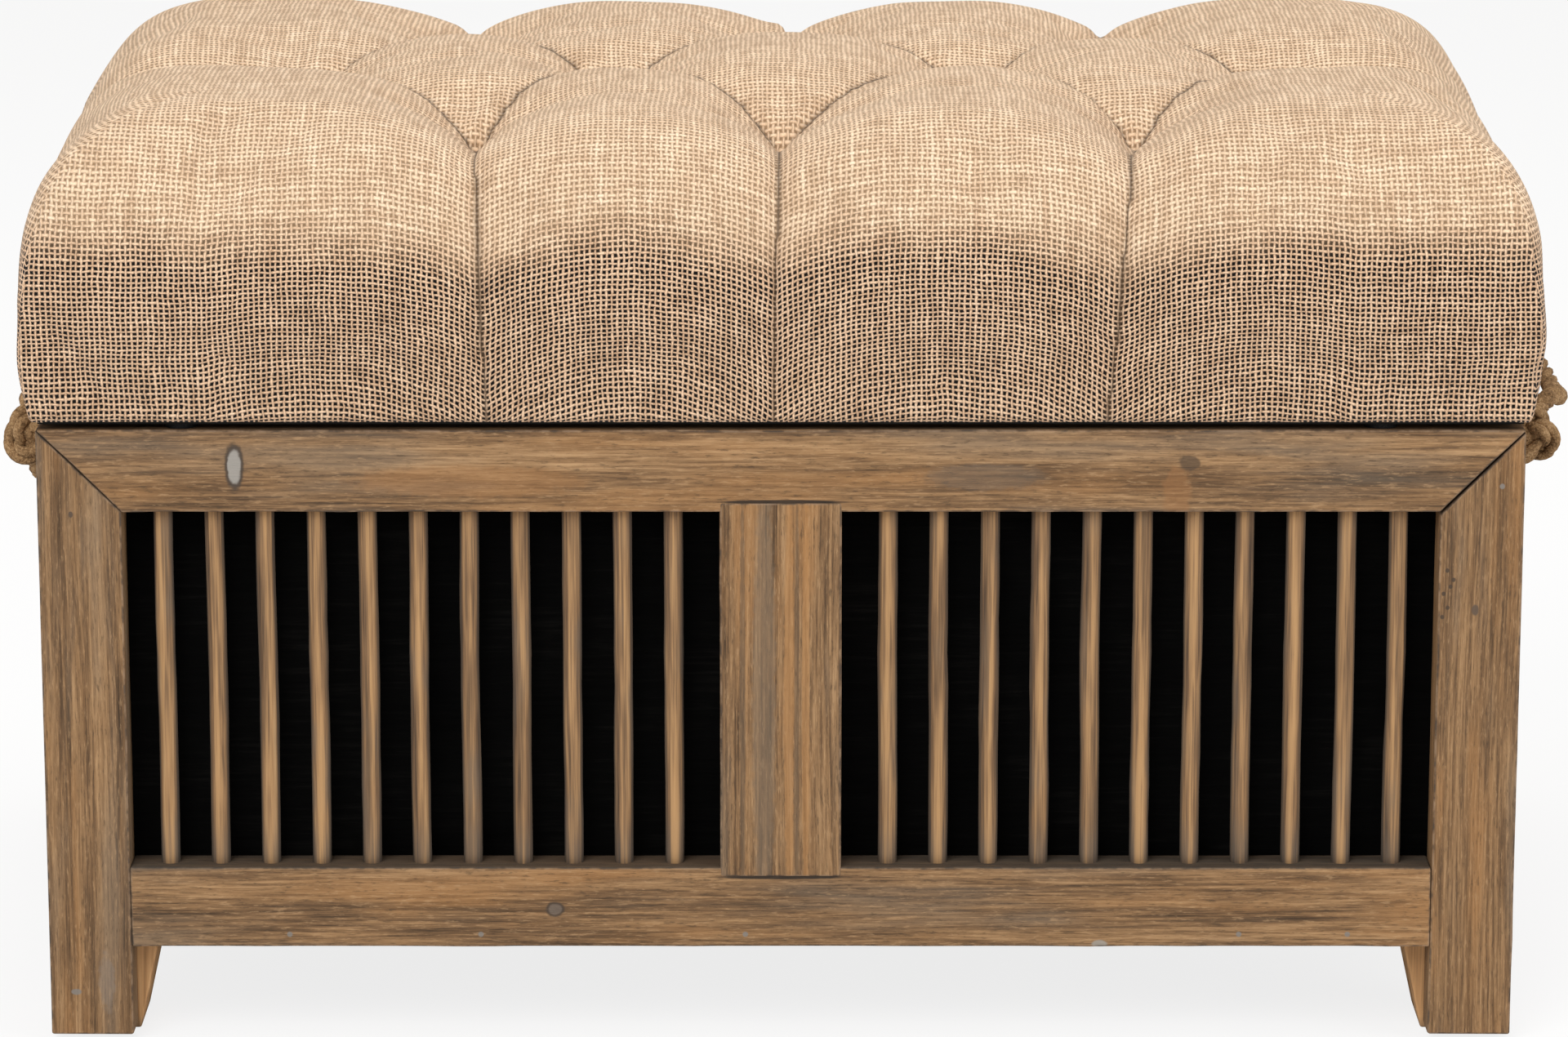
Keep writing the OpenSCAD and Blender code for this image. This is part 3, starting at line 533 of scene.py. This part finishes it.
seed = 1
for side, half, names in (("front", frontHalf, ("left", "right")), ("back", frontHalf, ("right", "left")),
                          ("left", sideHalf, ("back", "front")), ("right", sideHalf, ("front", "back"))):
    flat = "x" if side in ("front", "back") else "y"
    boards = [(names[0] + "_stile", stileOutline(half, -1), (2,), "z", 0.93),
              (names[1] + "_stile", stileOutline(half, 1), (2,), "z", 0.93),
              ("top_rail", topOutline(half), (1, 3), flat, 0.98),
              ("bottom_rail", bottomOutline(half), (1, 3), flat, 1.0)]
    if flat == "x":
        boards.append(("centre_stile", centreOutline, (0, 2), "z", 0.95))
    for label, outline, joints, along, tone in boards:
        node = side + "_" + label
        if node == "front_right_stile":
            outline = stileOutline(half, 1, crate["openMitre"])  # this mitre has opened
        sawnBoard(node, outline, joints, side, along, seed, frontSpots.get(node, ()), tone)
        seed += 1
    print("crate:", side, len(boards), "boards")


# dowel bars, each a little crooked

def barPaint():
    paint = Paint("dowelFir", "weathered_fir")
    x, y, z = paint.parts(paint.place())
    streaks = paint.noise(paint.vector(x * 420, y * 420, z * 9), 1, 3, 0.6)
    blots = paint.noise(paint.vector(x * 46, y * 46, z * 14), 1, 3, 0.6)
    fibres = paint.noise(paint.vector(x * 1500, y * 1500, z * 40), 1, 2)
    wood = paint.ramp(streaks * 0.7 + fibres * 0.3, [
        (0.36, (0.070, 0.042, 0.024)), (0.46, (0.170, 0.096, 0.048)), (0.56, (0.29, 0.165, 0.076)),
        (0.68, (0.41, 0.250, 0.122))])
    grey = paint.mix(blots.rise(0.50, 0.68) * 0.6, wood, (0.105, 0.084, 0.066))
    ends = paint.mix((1 - z.rise(0.078, 0.100)) * 0.55, grey, (0.10, 0.085, 0.070))
    # painted highlight on the outward face of each bar, streaked, set by how far a point faces out
    rubbed = paint.attribute("rubbed") + (blots - 0.5) * 0.5
    paintedHighlight = rubbed.rise(0.80, 1.05) * (0.2 + streaks.rise(0.42, 0.60) * 0.6)
    colour = paint.mix(paintedHighlight, ends, (0.46, 0.265, 0.115))
    # painted shade: dark grey on the flanks of each bar
    colour = paint.mix((1 - rubbed.rise(0.38, 0.80)) * 0.75, colour, (0.060, 0.048, 0.038))
    return paint.finish(colour, 0.7, streaks * 0.6 + fibres * 0.4, 0.0006, Specular_IOR_Level=0.3)


barFinish = barPaint()


def dowelBars(node, row, side, seed):
    bm = bmesh.new()
    rubbed = bm.verts.layers.float.new("rubbed")
    low, high = railLow - bars["socket"], railHigh + bars["socket"]
    radius, slices = bars["thick"] / 2, bars["slices"]
    for k, x in enumerate(row):
        middle = Matrix.Translation((x, crate["stockT"] / 2, (low + high) / 2))
        made = bmesh.ops.create_cone(bm, cap_ends=True, segments=bars["sides"], radius1=radius,
                                     radius2=radius, depth=high - low, matrix=middle)["verts"]
        geom = dict.fromkeys(part for v in made for part in [v, *v.link_edges, *v.link_faces])
        for i in range(1, slices):
            cut = bmesh.ops.bisect_plane(bm, geom=list(geom), dist=1e-6, plane_no=(0, 0, 1),
                                         plane_co=(0, 0, low + (high - low) * i / slices))
            geom.update(dict.fromkeys(cut["geom_cut"] + cut["geom"]))
        for vert in [g for g in geom if isinstance(g, bmesh.types.BMVert)]:
            up = (vert.co.z - low) / (high - low)
            free = math.sin(math.pi * up)
            bow = noise.noise_vector(Vector((k * 5.3 + seed, seed * 2.1, up * bars["bowScale"])))
            lump = noise.noise(vert.co * bars["lumpScale"] + Vector((k * 7.0, seed, 0)))
            out = Vector((vert.co.x - x, vert.co.y - crate["stockT"] / 2, 0))
            # how far each point faces out of the crate, which sets the bars' painted highlight and painted
            # shade
            vert[rubbed] = max(0.0, -out.y / max(out.length, 1e-6))
            bend = Vector((bow.x * bars["bow"][0], bow.y * bars["bow"][1], 0))
            vert.co += out * lump * bars["lumps"] * free + bend * free
    bmesh.ops.transform(bm, matrix=sides[side], verts=bm.verts[:])
    addPiece(pieceName(node), bm, barFinish, "crate", [node])


bayFirst = stileHalf + bars["innerMargin"]
bayLast = frontHalf - crate["stockW"] - bars["outerMargin"]
rightBay = [bayFirst + i * (bayLast - bayFirst) / (bars["inBay"] - 1) for i in range(bars["inBay"])]
leftBay = [-x for x in rightBay]
sideReach = sideHalf - crate["stockW"] - bars["outerMargin"]
sideRow = [sideReach * (2 * i / (bars["inSide"] - 1) - 1) for i in range(bars["inSide"])]
for node, row, side, seed in (
        ("front_left_bars", leftBay, "front", 1), ("front_right_bars", rightBay, "front", 2),
        ("back_left_bars", rightBay, "back", 3), ("back_right_bars", leftBay, "back", 4),
        ("left_bars", sideRow, "left", 5), ("right_bars", sideRow, "right", 6)):
    dowelBars(node, row, side, seed)
print("crate: dowel bars")


# nodes that keep their own shape

def coat(node, paint, edge=0.0):
    piece = nodes[node]
    piece.data.materials.clear()
    piece.data.materials.append(paint.material)
    if edge:
        piece.modifiers.new("weld", "WELD").merge_threshold = 0.00001
        flat = piece.modifiers.new("flat", "DECIMATE")
        flat.decimate_type = "DISSOLVE"
        flat.angle_limit = math.radians(1)
        bevel = piece.modifiers.new("edge", "BEVEL")
        bevel.width = edge
        bevel.segments = 2
        bevel.limit_method = "ANGLE"
        bevel.angle_limit = math.radians(30)


def footPaint():
    paint = Paint("freshFir", "fresh_fir")
    x, y, z = paint.parts(paint.place())
    rings = paint.noise(paint.vector(x * 160, y * 160, z * 6), 1, 3, 0.6)
    fibres = paint.noise(paint.vector(x * 900, y * 900, z * 30), 1, 2)
    wood = paint.ramp(rings * 0.65 + fibres * 0.35, [
        (0.34, (0.30, 0.160, 0.072)), (0.50, (0.60, 0.335, 0.150)), (0.66, (0.78, 0.490, 0.245))])
    # darker in the lowest 6 mm of each foot, next to the floor
    darkerNearFloor = paint.mix((1 - z.rise(0.0, 0.006)) * 0.6, wood, (0.12, 0.09, 0.065))
    return paint.finish(darkerNearFloor, 0.75, rings, 0.0006, Specular_IOR_Level=0.3)


def blackPaint(name, shade):
    paint = Paint(name, "black_board")
    x, y, z = paint.parts(paint.place())
    grain = paint.noise(paint.vector(x * 30, y * 600, z * 600), 1, 3, 0.6)
    dust = paint.noise(paint.place(), 24, 4, 0.6)
    colour = paint.ramp(grain * 0.5 + dust * 0.5, [
        (0.35, (0.5 * shade, 0.48 * shade, 0.46 * shade)), (0.55, (shade, 0.95 * shade, 0.9 * shade)),
        (0.72, (2.6 * shade, 2.4 * shade, 2.2 * shade))])
    return paint.finish(colour, 0.72 + grain * 0.2, grain, 0.0003, Specular_IOR_Level=min(0.12, 10 * shade))


def feltPaint():
    paint = Paint("blackFelt", "black_felt")
    at = paint.place()
    hairs = paint.noise(at, 1500, 3, 0.7)
    clouds = paint.noise(at, 60, 3)
    colour = paint.ramp(hairs * 0.6 + clouds * 0.4, [
        (0.35, (0.008, 0.008, 0.008)), (0.55, (0.018, 0.017, 0.017)), (0.75, (0.036, 0.034, 0.033))])
    return paint.finish(colour, 0.95, hairs, 0.0006, Specular_IOR_Level=0.1)


def steelPaint():
    paint = Paint("zincSteel", "zinc_steel")
    x, y, z = paint.parts(paint.place())
    brush = paint.noise(paint.vector(x * 60, y * 2200, z * 2200), 1, 2)
    bloom = paint.noise(paint.place(), 140, 3, 0.6)
    colour = paint.ramp(bloom, [
        (0.30, (0.36, 0.35, 0.33)), (0.55, (0.50, 0.49, 0.47)), (0.75, (0.60, 0.59, 0.57))])
    return paint.finish(colour, 0.30 + bloom * 0.22, brush, 0.0001, Metallic=1.0)


footFinish, feltFinish, steelFinish = footPaint(), feltPaint(), steelPaint()
# the lining is a black board, but its near-zero 0.0022 is partly painted shade, far darker than the black
# board, standing in for the shade inside the crate
liningAndShadeFinish, boardFinish = blackPaint("liningBoard", 0.0022), blackPaint("blackBoard", 0.012)
for node in nodes:
    if node.endswith("_foot"):
        coat(node, footFinish, 0.0009)
    elif node.endswith("_lining"):
        coat(node, liningAndShadeFinish)
    elif node in ("floor_board", "lid_board"):
        coat(node, boardFinish)
    elif node == "floor_cleats":
        coat(node, firPaint("cleatFir", "x", 40), 0.0006)
    elif node in ("dust_cover", "lid_bumpers"):
        coat(node, feltFinish)
    elif node == "tuft_ties":
        coat(node, juteFinish)
    elif "hinge" in node or node.startswith("stay") or node.endswith("screws"):
        coat(node, steelFinish)
print("hardware, floor and lining painted")


# tufted cushion: a flat cover folded over the crown and down the sides, drawn in along pleats and at tufts

cushion = {
    "hem": 0.2702, "mound": 0.123, "crown": 0.004, "shoulderW": 0.078, "shoulderH": 0.098, "squareness": 3.6,
    "arcShare": 0.87, "belly": 0.006, "backSwell": 0.008, "hemOver": 0.0026, "hemLow": 0.0016,
    "board": (0.306, 0.196), "cornerSoft": 5, "cornerSquare": 40, "cornerRise": 3,
    "row": 0.100, "front": (-0.130, 0.0, 0.152), "frontHems": (-0.122, -0.003, 0.136),
    "middle": (-0.212, -0.077, 0.086, 0.216), "back": (-0.144, 0.004, 0.150),
    "tuft": 0.031, "tie": 0.007, "atHem": 0.003, "reach": 0.062, "narrowing": 0.58, "pillow": 1.6, "blend": 8,
    "fall": 1.3, "fade": 0.6, "fadeFrom": 0.2, "fadeOver": 0.5, "lip": 0.0018, "lipReach": 0.007,
    "standing": 0.009, "standingAt": 0.22, "standingOver": 0.13, "lumps": 0.0020, "lumpScale": 15,
    "gathers": 8, "gather": 0.0016, "gatherReach": 0.030, "gatherStart": 0.012,
    "thread": 0.0022, "arch": 0.021, "archReach": 0.082, "archPower": 2.6, "archRise": 1.5,
    "cornerNear": 0.030, "cell": 0.0052, "crowding": 0.34, "tuftCrowding": 1.4, "onPleat": 1e-5,
    "crease": 0.9, "pinBand": 0.004, "pressure": 2.6, "frames": 20, "mostMoved": 0.005,
    "cloth": {"quality": 4, "mass": 0.3, "tension_stiffness": 20, "compression_stiffness": 20,
              "shear_stiffness": 8, "bending_stiffness": 0.6, "shrink_min": -0.015},
}
flatHalf = Vector((crate["width"] / 2 + cushion["belly"] - cushion["shoulderW"],
                   crate["depth"] / 2 + cushion["belly"] - cushion["shoulderW"]))
shoulderArc = cushion["arcShare"] * (cushion["shoulderW"] + cushion["shoulderH"])
faceDrop = cushion["mound"] - cushion["shoulderH"]
sidePath = shoulderArc + faceDrop
coverHalf = flatHalf + Vector((sidePath, sidePath))
frontRow = [Vector((x, -cushion["row"])) for x in cushion["front"]]
middleRow = [Vector((x, 0)) for x in cushion["middle"]]
backRow = [Vector((x, cushion["row"])) for x in cushion["back"]]
tufts = frontRow + middleRow + backRow
ties = [(row[i], middleRow[i + k]) for row in (frontRow, backRow) for i in range(3) for k in (0, 1)]
runs = [(p, Vector((x, -coverHalf.y))) for p, x in zip(frontRow, cushion["frontHems"])]
runs += [(p, Vector((p.x, coverHalf.y))) for p in backRow]
runs += [(p, Vector((math.copysign(coverHalf.x, p.x), 0))) for p in (middleRow[0], middleRow[3])]


def onPleat(flat, pleat):
    start, way = pleat[0], pleat[1] - pleat[0]
    share = min(1.0, max(0.0, (flat - start).dot(way) / way.length_squared))
    off = flat - start - way * share
    return share, off.length, way.x * off.y - way.y * off.x


# how far pleats and tufts draw the cover in, and how near the next pleat is
def drawnIn(flat, reach):
    pulls, nearest, lip = 0.0, 9.0, 0.0
    for pleat in ties + runs:
        share, apart, side = onPleat(flat, pleat)
        if pleat in runs:
            late = min(1.0, max(0.0, (share - cushion["fadeFrom"]) / cushion["fadeOver"]))
            fade = 1 - cushion["fade"] * late * late * (3 - 2 * late)
            deep = cushion["tuft"] - cushion["atHem"]
            depth = cushion["atHem"] + deep * fade * (1 - share) ** cushion["fall"]
        else:
            depth = cushion["tie"] + (cushion["tuft"] - cushion["tie"]) * (2 * share - 1) ** 2
        if apart < nearest:
            nearest = apart
            lip = cushion["lip"] if side > 1e-9 else 0.0
            if pleat[0] is backRow[1] and pleat in runs and side > 1e-9:
                past = (share - cushion["standingAt"]) / cushion["standingOver"]
                lip += cushion["standing"] * math.exp(-past ** 2)
        u = 1 - apart / reach
        if u > 0:
            rise = 1 - (1 - u ** cushion["pillow"]) ** (1 / cushion["pillow"])
            pulls += (depth * rise) ** cushion["blend"]
    lip *= math.exp(-(nearest / cushion["lipReach"]) ** 2)
    return pulls ** (1 / cushion["blend"]) - lip, nearest


def onFlat(flat):
    return Vector([min(half, max(-half, part)) for half, part in zip(flatHalf, flat)])


# where a point of the flat cover goes, and how near a pleat it is
def coverPoint(flat):
    base = onFlat(flat)
    over = flat - base
    path = max(abs(over.x), abs(over.y))
    down = min(1.0, path / shoulderArc)
    face = max(0.0, (path - shoulderArc) / faceDrop)
    turn = math.pi / 2 * down
    sine, cosine = math.sin(turn), max(0.0, math.cos(turn))
    n = Vector((0, 0))
    if path > 0:
        low = min(1.0, path / sidePath) ** cushion["cornerRise"]
        power = cushion["cornerSoft"] + (cushion["cornerSquare"] - cushion["cornerSoft"]) * low
        n = over / path
        n /= (abs(n.x) ** power + abs(n.y) ** power) ** (1 / power)
    e = cushion["squareness"]
    radius = ((sine / cushion["shoulderW"]) ** e + (cosine / cushion["shoulderH"]) ** e) ** (-1 / e)
    pit, near = drawnIn(flat, cushion["reach"] * (1 - cushion["narrowing"] * down))
    away, tuft = min(((flat - p).length, i) for i, p in enumerate(tufts))
    ray = math.atan2(flat.y - tufts[tuft].y, flat.x - tufts[tuft].x)
    fan = math.exp(-(away / cushion["gatherReach"]) ** 2) * min(1, away / cushion["gatherStart"])
    pit += cushion["gather"] * math.sin(cushion["gathers"] * ray + 2 * tuft) * fan
    spot = flat * cushion["lumpScale"]
    pit += cushion["lumps"] * noise.noise(Vector((spot.x, spot.y, 3.1))) * (1 - face ** 3)
    crown = cushion["crown"] * (1 - (base.x / flatHalf.x) ** 2) * (1 - (base.y / flatHalf.y) ** 2)
    swell = cushion["backSwell"] * abs(n.x) * max(0.0, base.y / flatHalf.y) * sine * (1 - face)
    tucked = (cushion["belly"] - cushion["hemOver"]) * face ** 2
    out = radius * sine + swell - tucked - pit * sine * (1 - face ** 2)
    side = base + n * out
    height = (cushion["hem"] + cushion["mound"] + crown - cushion["shoulderH"] + radius * cosine
              - (faceDrop + cushion["hemLow"] * face) * face - pit * cosine)
    return Vector((side.x, side.y, height)), near


# how far down a side the cloth of a point hangs, which sags towards the pleats
def wayDown(flat, near):
    over = flat - onFlat(flat)
    path = max(abs(over.x), abs(over.y))
    corner = flatHalf.x - abs(flat.x) if abs(over.y) >= abs(over.x) else flatHalf.y - abs(flat.y)
    near = min(near, max(corner, 0.0) + cushion["cornerNear"])
    sag = max(0.0, 1 - near / cushion["archReach"]) ** cushion["archPower"]
    return path - cushion["arch"] * sag * min(1.0, path / shoulderArc) ** cushion["archRise"]


# threads run square to the crate on every side
def weavePlace(flat, middle, place, near):
    over = middle - onFlat(middle)
    if abs(over.x) < 1e-6 and abs(over.y) < 1e-6:
        return flat / cushion["thread"]
    down = wayDown(flat, near)
    if abs(over.y) >= abs(over.x):
        return Vector((place.x, math.copysign(flatHalf.y + down, middle.y))) / cushion["thread"]
    return Vector((math.copysign(flatHalf.x + down, middle.x), place.y)) / cushion["thread"]


def burlapPaint():
    paint = Paint("burlap", "burlap")
    u, v = paint.parts(paint.node("UVMap", {"uv_map": "weave"}))[:2]
    at = paint.place()
    u = u + (paint.noise(at, 60, 2) - 0.5) * 0.9 + (paint.noise(at, 330, 2) - 0.5) * 0.5
    drift = paint.noise(paint.vector(v * 0.05, u * 0.05, 4.0), 3, 2) - 0.5
    v = v + drift * 0.8 + (paint.noise(at, 290, 2) - 0.5) * 0.5
    warp, weft = u.floor(), v.floor()
    across, along = abs(u.fract() - 0.5) * 2, abs(v.fract() - 0.5) * 2
    slubWarp = paint.noise(paint.vector(warp * 7.13, v * 0.10, 1.0), 1, 2)
    slubWeft = paint.noise(paint.vector(u * 0.10, weft * 5.71, 9.0), 1, 2)
    padded = 1 - (paint.attribute("hang") + (paint.noise(at, 26, 2) - 0.5) * 0.020).rise(0.080, 0.104)
    wideWarp, wideWeft = ((0.34 + slub * 0.32) + padded * (0.11 + slub * 0.12)
                          for slub in (slubWarp, slubWeft))
    domeWarp, domeWeft = 1 - (across / wideWarp) ** 2, 1 - (along / wideWeft) ** 2
    over = ((warp + weft) * 0.5).fract() * 2
    highWarp = domeWarp * (0.42 + 0.58 * over * (1 - 0.45 * along * along))
    highWeft = domeWeft * (0.42 + 0.58 * (1 - over) * (1 - 0.45 * across * across))
    height = highWarp.most(highWeft).most(0)
    thread = height.rise(0.02, 0.16)
    fibre = paint.noise(paint.vector(u * 2.2, v * 2.2, 2.0), 4, 3, 0.7)
    shade = slubWarp * 0.3 + slubWeft * 0.3 + fibre * 0.4
    yarn = paint.ramp(shade, [(0.30, (0.46, 0.300, 0.180)), (0.44, (0.74, 0.515, 0.335)),
                              (0.56, (0.92, 0.685, 0.475)), (0.74, (1.00, 0.830, 0.640))])
    # painted shade: yarn darker where a thread sinks low under its crossing thread and at its edges, darker
    # still below the padding
    paintedWeaveShade = paint.mix(padded, (0.150, 0.085, 0.042), (0.36, 0.225, 0.125))
    yarn = paint.mix((1 - height.rise(0.06, 0.68)) * 0.75, yarn, paintedWeaveShade)
    yarn = paint.mix(1 - padded, yarn, (1.0, 0.925, 0.885), "MULTIPLY")
    # seen through the holes: tan batting where the cover is padded; below that, near-black painted shade for
    # the space behind the cover
    battingAndHoleShade = paint.mix(padded, (0.004, 0.003, 0.0025), (0.30, 0.190, 0.105))
    colour = paint.mix(thread, battingAndHoleShade, yarn)
    # painted shade: a dark line along the pleat creases
    crease = paint.attribute("crease")
    colour = paint.mix(crease ** 4 * 0.9, colour, (0.07, 0.040, 0.020))
    return paint.finish(colour, 0.95, height, 0.0010, Specular_IOR_Level=0.12, Sheen_Weight=0.12)


# pressure swells the cover between its pins, and no point moves further than the cap
def inflate(piece, pinned):
    start = [vert.co.copy() for vert in piece.data.vertices]
    piece.vertex_groups.new(name="pins").add(pinned, 1.0, "REPLACE")
    cloth = piece.modifiers.new("cloth", "CLOTH")
    for key, value in cushion["cloth"].items():
        setattr(cloth.settings, key, value)
    cloth.settings.vertex_group_mass = "pins"
    cloth.settings.use_pressure = True
    cloth.settings.uniform_pressure_force = cushion["pressure"]
    cloth.settings.effector_weights.gravity = 0
    cloth.collision_settings.use_collision = False
    cloth.point_cache.frame_start, cloth.point_cache.frame_end = 1, cushion["frames"]
    for step in range(1, cushion["frames"] + 1):
        scene.frame_set(step)
    swollen = piece.evaluated_get(bpy.context.evaluated_depsgraph_get()).data
    moves = [vert.co - before for vert, before in zip(swollen.vertices, start)]
    piece.modifiers.remove(cloth)
    piece.vertex_groups.clear()
    scene.frame_set(1)
    most = cushion["mostMoved"]
    for vert, before, move in zip(piece.data.vertices, start, moves):
        vert.co = before + move * (most / max(most, move.length))
    lengths = sorted(move.length for move in moves)
    middle, furthest = round(lengths[len(lengths) // 2], 4), round(lengths[-1], 4)
    print("cushion: pressure moves points by", middle, "m, at most", furthest, "m before the cap")


# points that the cuts leave too close together go into a tuft, a pleat or the rim, in that order
def weldClose(bm, gap):
    for tuft in tufts:
        min(bm.verts, key=lambda v: (v.co.to_2d() - tuft).length).co = tuft.to_3d()
    pleated, rank = {}, {}
    for vert in bm.verts:
        spot = vert.co.to_2d()
        pleated[vert] = {k for k, line in enumerate(ties + runs) if onPleat(spot, line)[1] < 1e-6}
        rank[vert] = 3 if spot in tufts else 2 if pleated[vert] else 1 if vert.is_boundary else 0
    verts = sorted(bm.verts, key=lambda v: (-rank[v], v.index))
    tree = kdtree.KDTree(len(verts))
    for i, vert in enumerate(verts):
        tree.insert(vert.co, i)
    tree.balance()
    kept, into = set(), {}
    for vert in verts:
        if vert in into:
            continue
        kept.add(vert)
        reach = gap * (cushion["tuftCrowding"] if rank[vert] == 3 else 1.0)
        for place, i, apart in tree.find_range(vert.co, reach):
            other = verts[i]
            if other not in kept and other not in into and (vert.is_boundary or not other.is_boundary):
                into[other] = vert
    bmesh.ops.weld_verts(bm, targetmap=into)
    bmesh.ops.dissolve_degenerate(bm, dist=1e-5, edges=bm.edges[:])
    return {vert: pleated[vert] for vert in bm.verts if vert in pleated}


def makeCushion():
    bm = bmesh.new()
    size = cushion["cell"]
    across, deep = (round(2 * half / size) for half in coverHalf)
    bmesh.ops.create_grid(bm, x_segments=across, y_segments=deep, size=1)
    bmesh.ops.scale(bm, vec=(coverHalf.x, coverHalf.y, 1), verts=bm.verts[:])
    corners = [(Vector((sx * flatHalf.x, sy * flatHalf.y)), Vector((sx * coverHalf.x, sy * coverHalf.y)))
               for sx in (-1, 1) for sy in (-1, 1)]
    for line in ties + runs + corners:
        way = line[1] - line[0]
        faces = [f for f in bm.faces if onPleat(f.calc_center_median().to_2d(), line)[1] < 1.2 * size]
        parts = list(dict.fromkeys(part for f in faces for part in [*f.verts, *f.edges])) + faces
        bmesh.ops.bisect_plane(bm, geom=parts, dist=1e-7, plane_co=line[0].to_3d(),
                               plane_no=(-way.y, way.x, 0))
    pleated = weldClose(bm, size * cushion["crowding"])
    crease, hang = (bm.verts.layers.float.new(name) for name in ("crease", "hang"))
    weave = bm.loops.layers.uv.new("weave")
    flat = {vert: vert.co.to_2d() for vert in bm.verts}
    middles = {face: face.calc_center_median().to_2d() for face in bm.faces}
    near = {}
    for vert in bm.verts:
        vert.co, near[vert] = coverPoint(flat[vert])
        vert[crease] = 1.0 if near[vert] < cushion["onPleat"] else 0.0
        vert[hang] = wayDown(flat[vert], near[vert])
    for face, middle in middles.items():
        for loop in face.loops:
            loop[weave].uv = weavePlace(flat[loop.vert], middle, loop.vert.co, near[loop.vert])
    sharp = bm.edges.layers.float.new("crease_edge")
    for edge in bm.edges:
        shared = set.intersection(*(pleated.get(v, set()) for v in edge.verts))
        edge[sharp] = cushion["crease"] if shared else 0.0
    rim = [e for e in bm.edges if e.is_boundary]
    bx, by = cushion["board"]
    turned = {}
    for vert in dict.fromkeys(v for e in rim for v in e.verts):
        place = (min(bx, max(-bx, vert.co.x)), min(by, max(-by, vert.co.y)), cushion["hem"])
        turned[vert] = bm.verts.new(place, vert)
    for start, end in [e.verts for e in rim]:
        bm.faces.new((start, end, turned[end], turned[start]))
    bmesh.ops.remove_doubles(bm, verts=list(turned.values()), dist=1e-5)
    for face in bm.faces:
        if face not in middles:
            for loop in face.loops:
                loop[weave].uv = loop.vert.co.to_2d() / cushion["thread"]
    bmesh.ops.recalc_face_normals(bm, faces=bm.faces[:])
    bm.verts.index_update()
    pinned = [v.index for v in bm.verts if v not in near or near[v] < cushion["onPleat"]
              or v.co.z < cushion["hem"] + cushion["pinBand"]]
    piece = addPiece("cushionCover", bm, burlapPaint(), "lid", ["cushion"])
    inflate(piece, pinned)
    smooth = piece.modifiers.new("smooth", "SUBSURF")
    smooth.levels = smooth.render_levels = 1
    graph = bpy.context.evaluated_depsgraph_get()
    coarse = piece.data
    piece.data = bpy.data.meshes.new_from_object(piece.evaluated_get(graph), preserve_all_data_layers=True,
                                                 depsgraph=graph)
    piece.modifiers.clear()
    bpy.data.meshes.remove(coarse)
    bm = bmesh.new()
    bm.from_mesh(piece.data)
    bmesh.ops.holes_fill(bm, edges=[e for e in bm.edges if e.is_boundary], sides=0)
    bmesh.ops.recalc_face_normals(bm, faces=bm.faces[:])
    bm.to_mesh(piece.data)
    bm.free()
    print("cushion:", len(piece.data.polygons), "faces")


makeCushion()
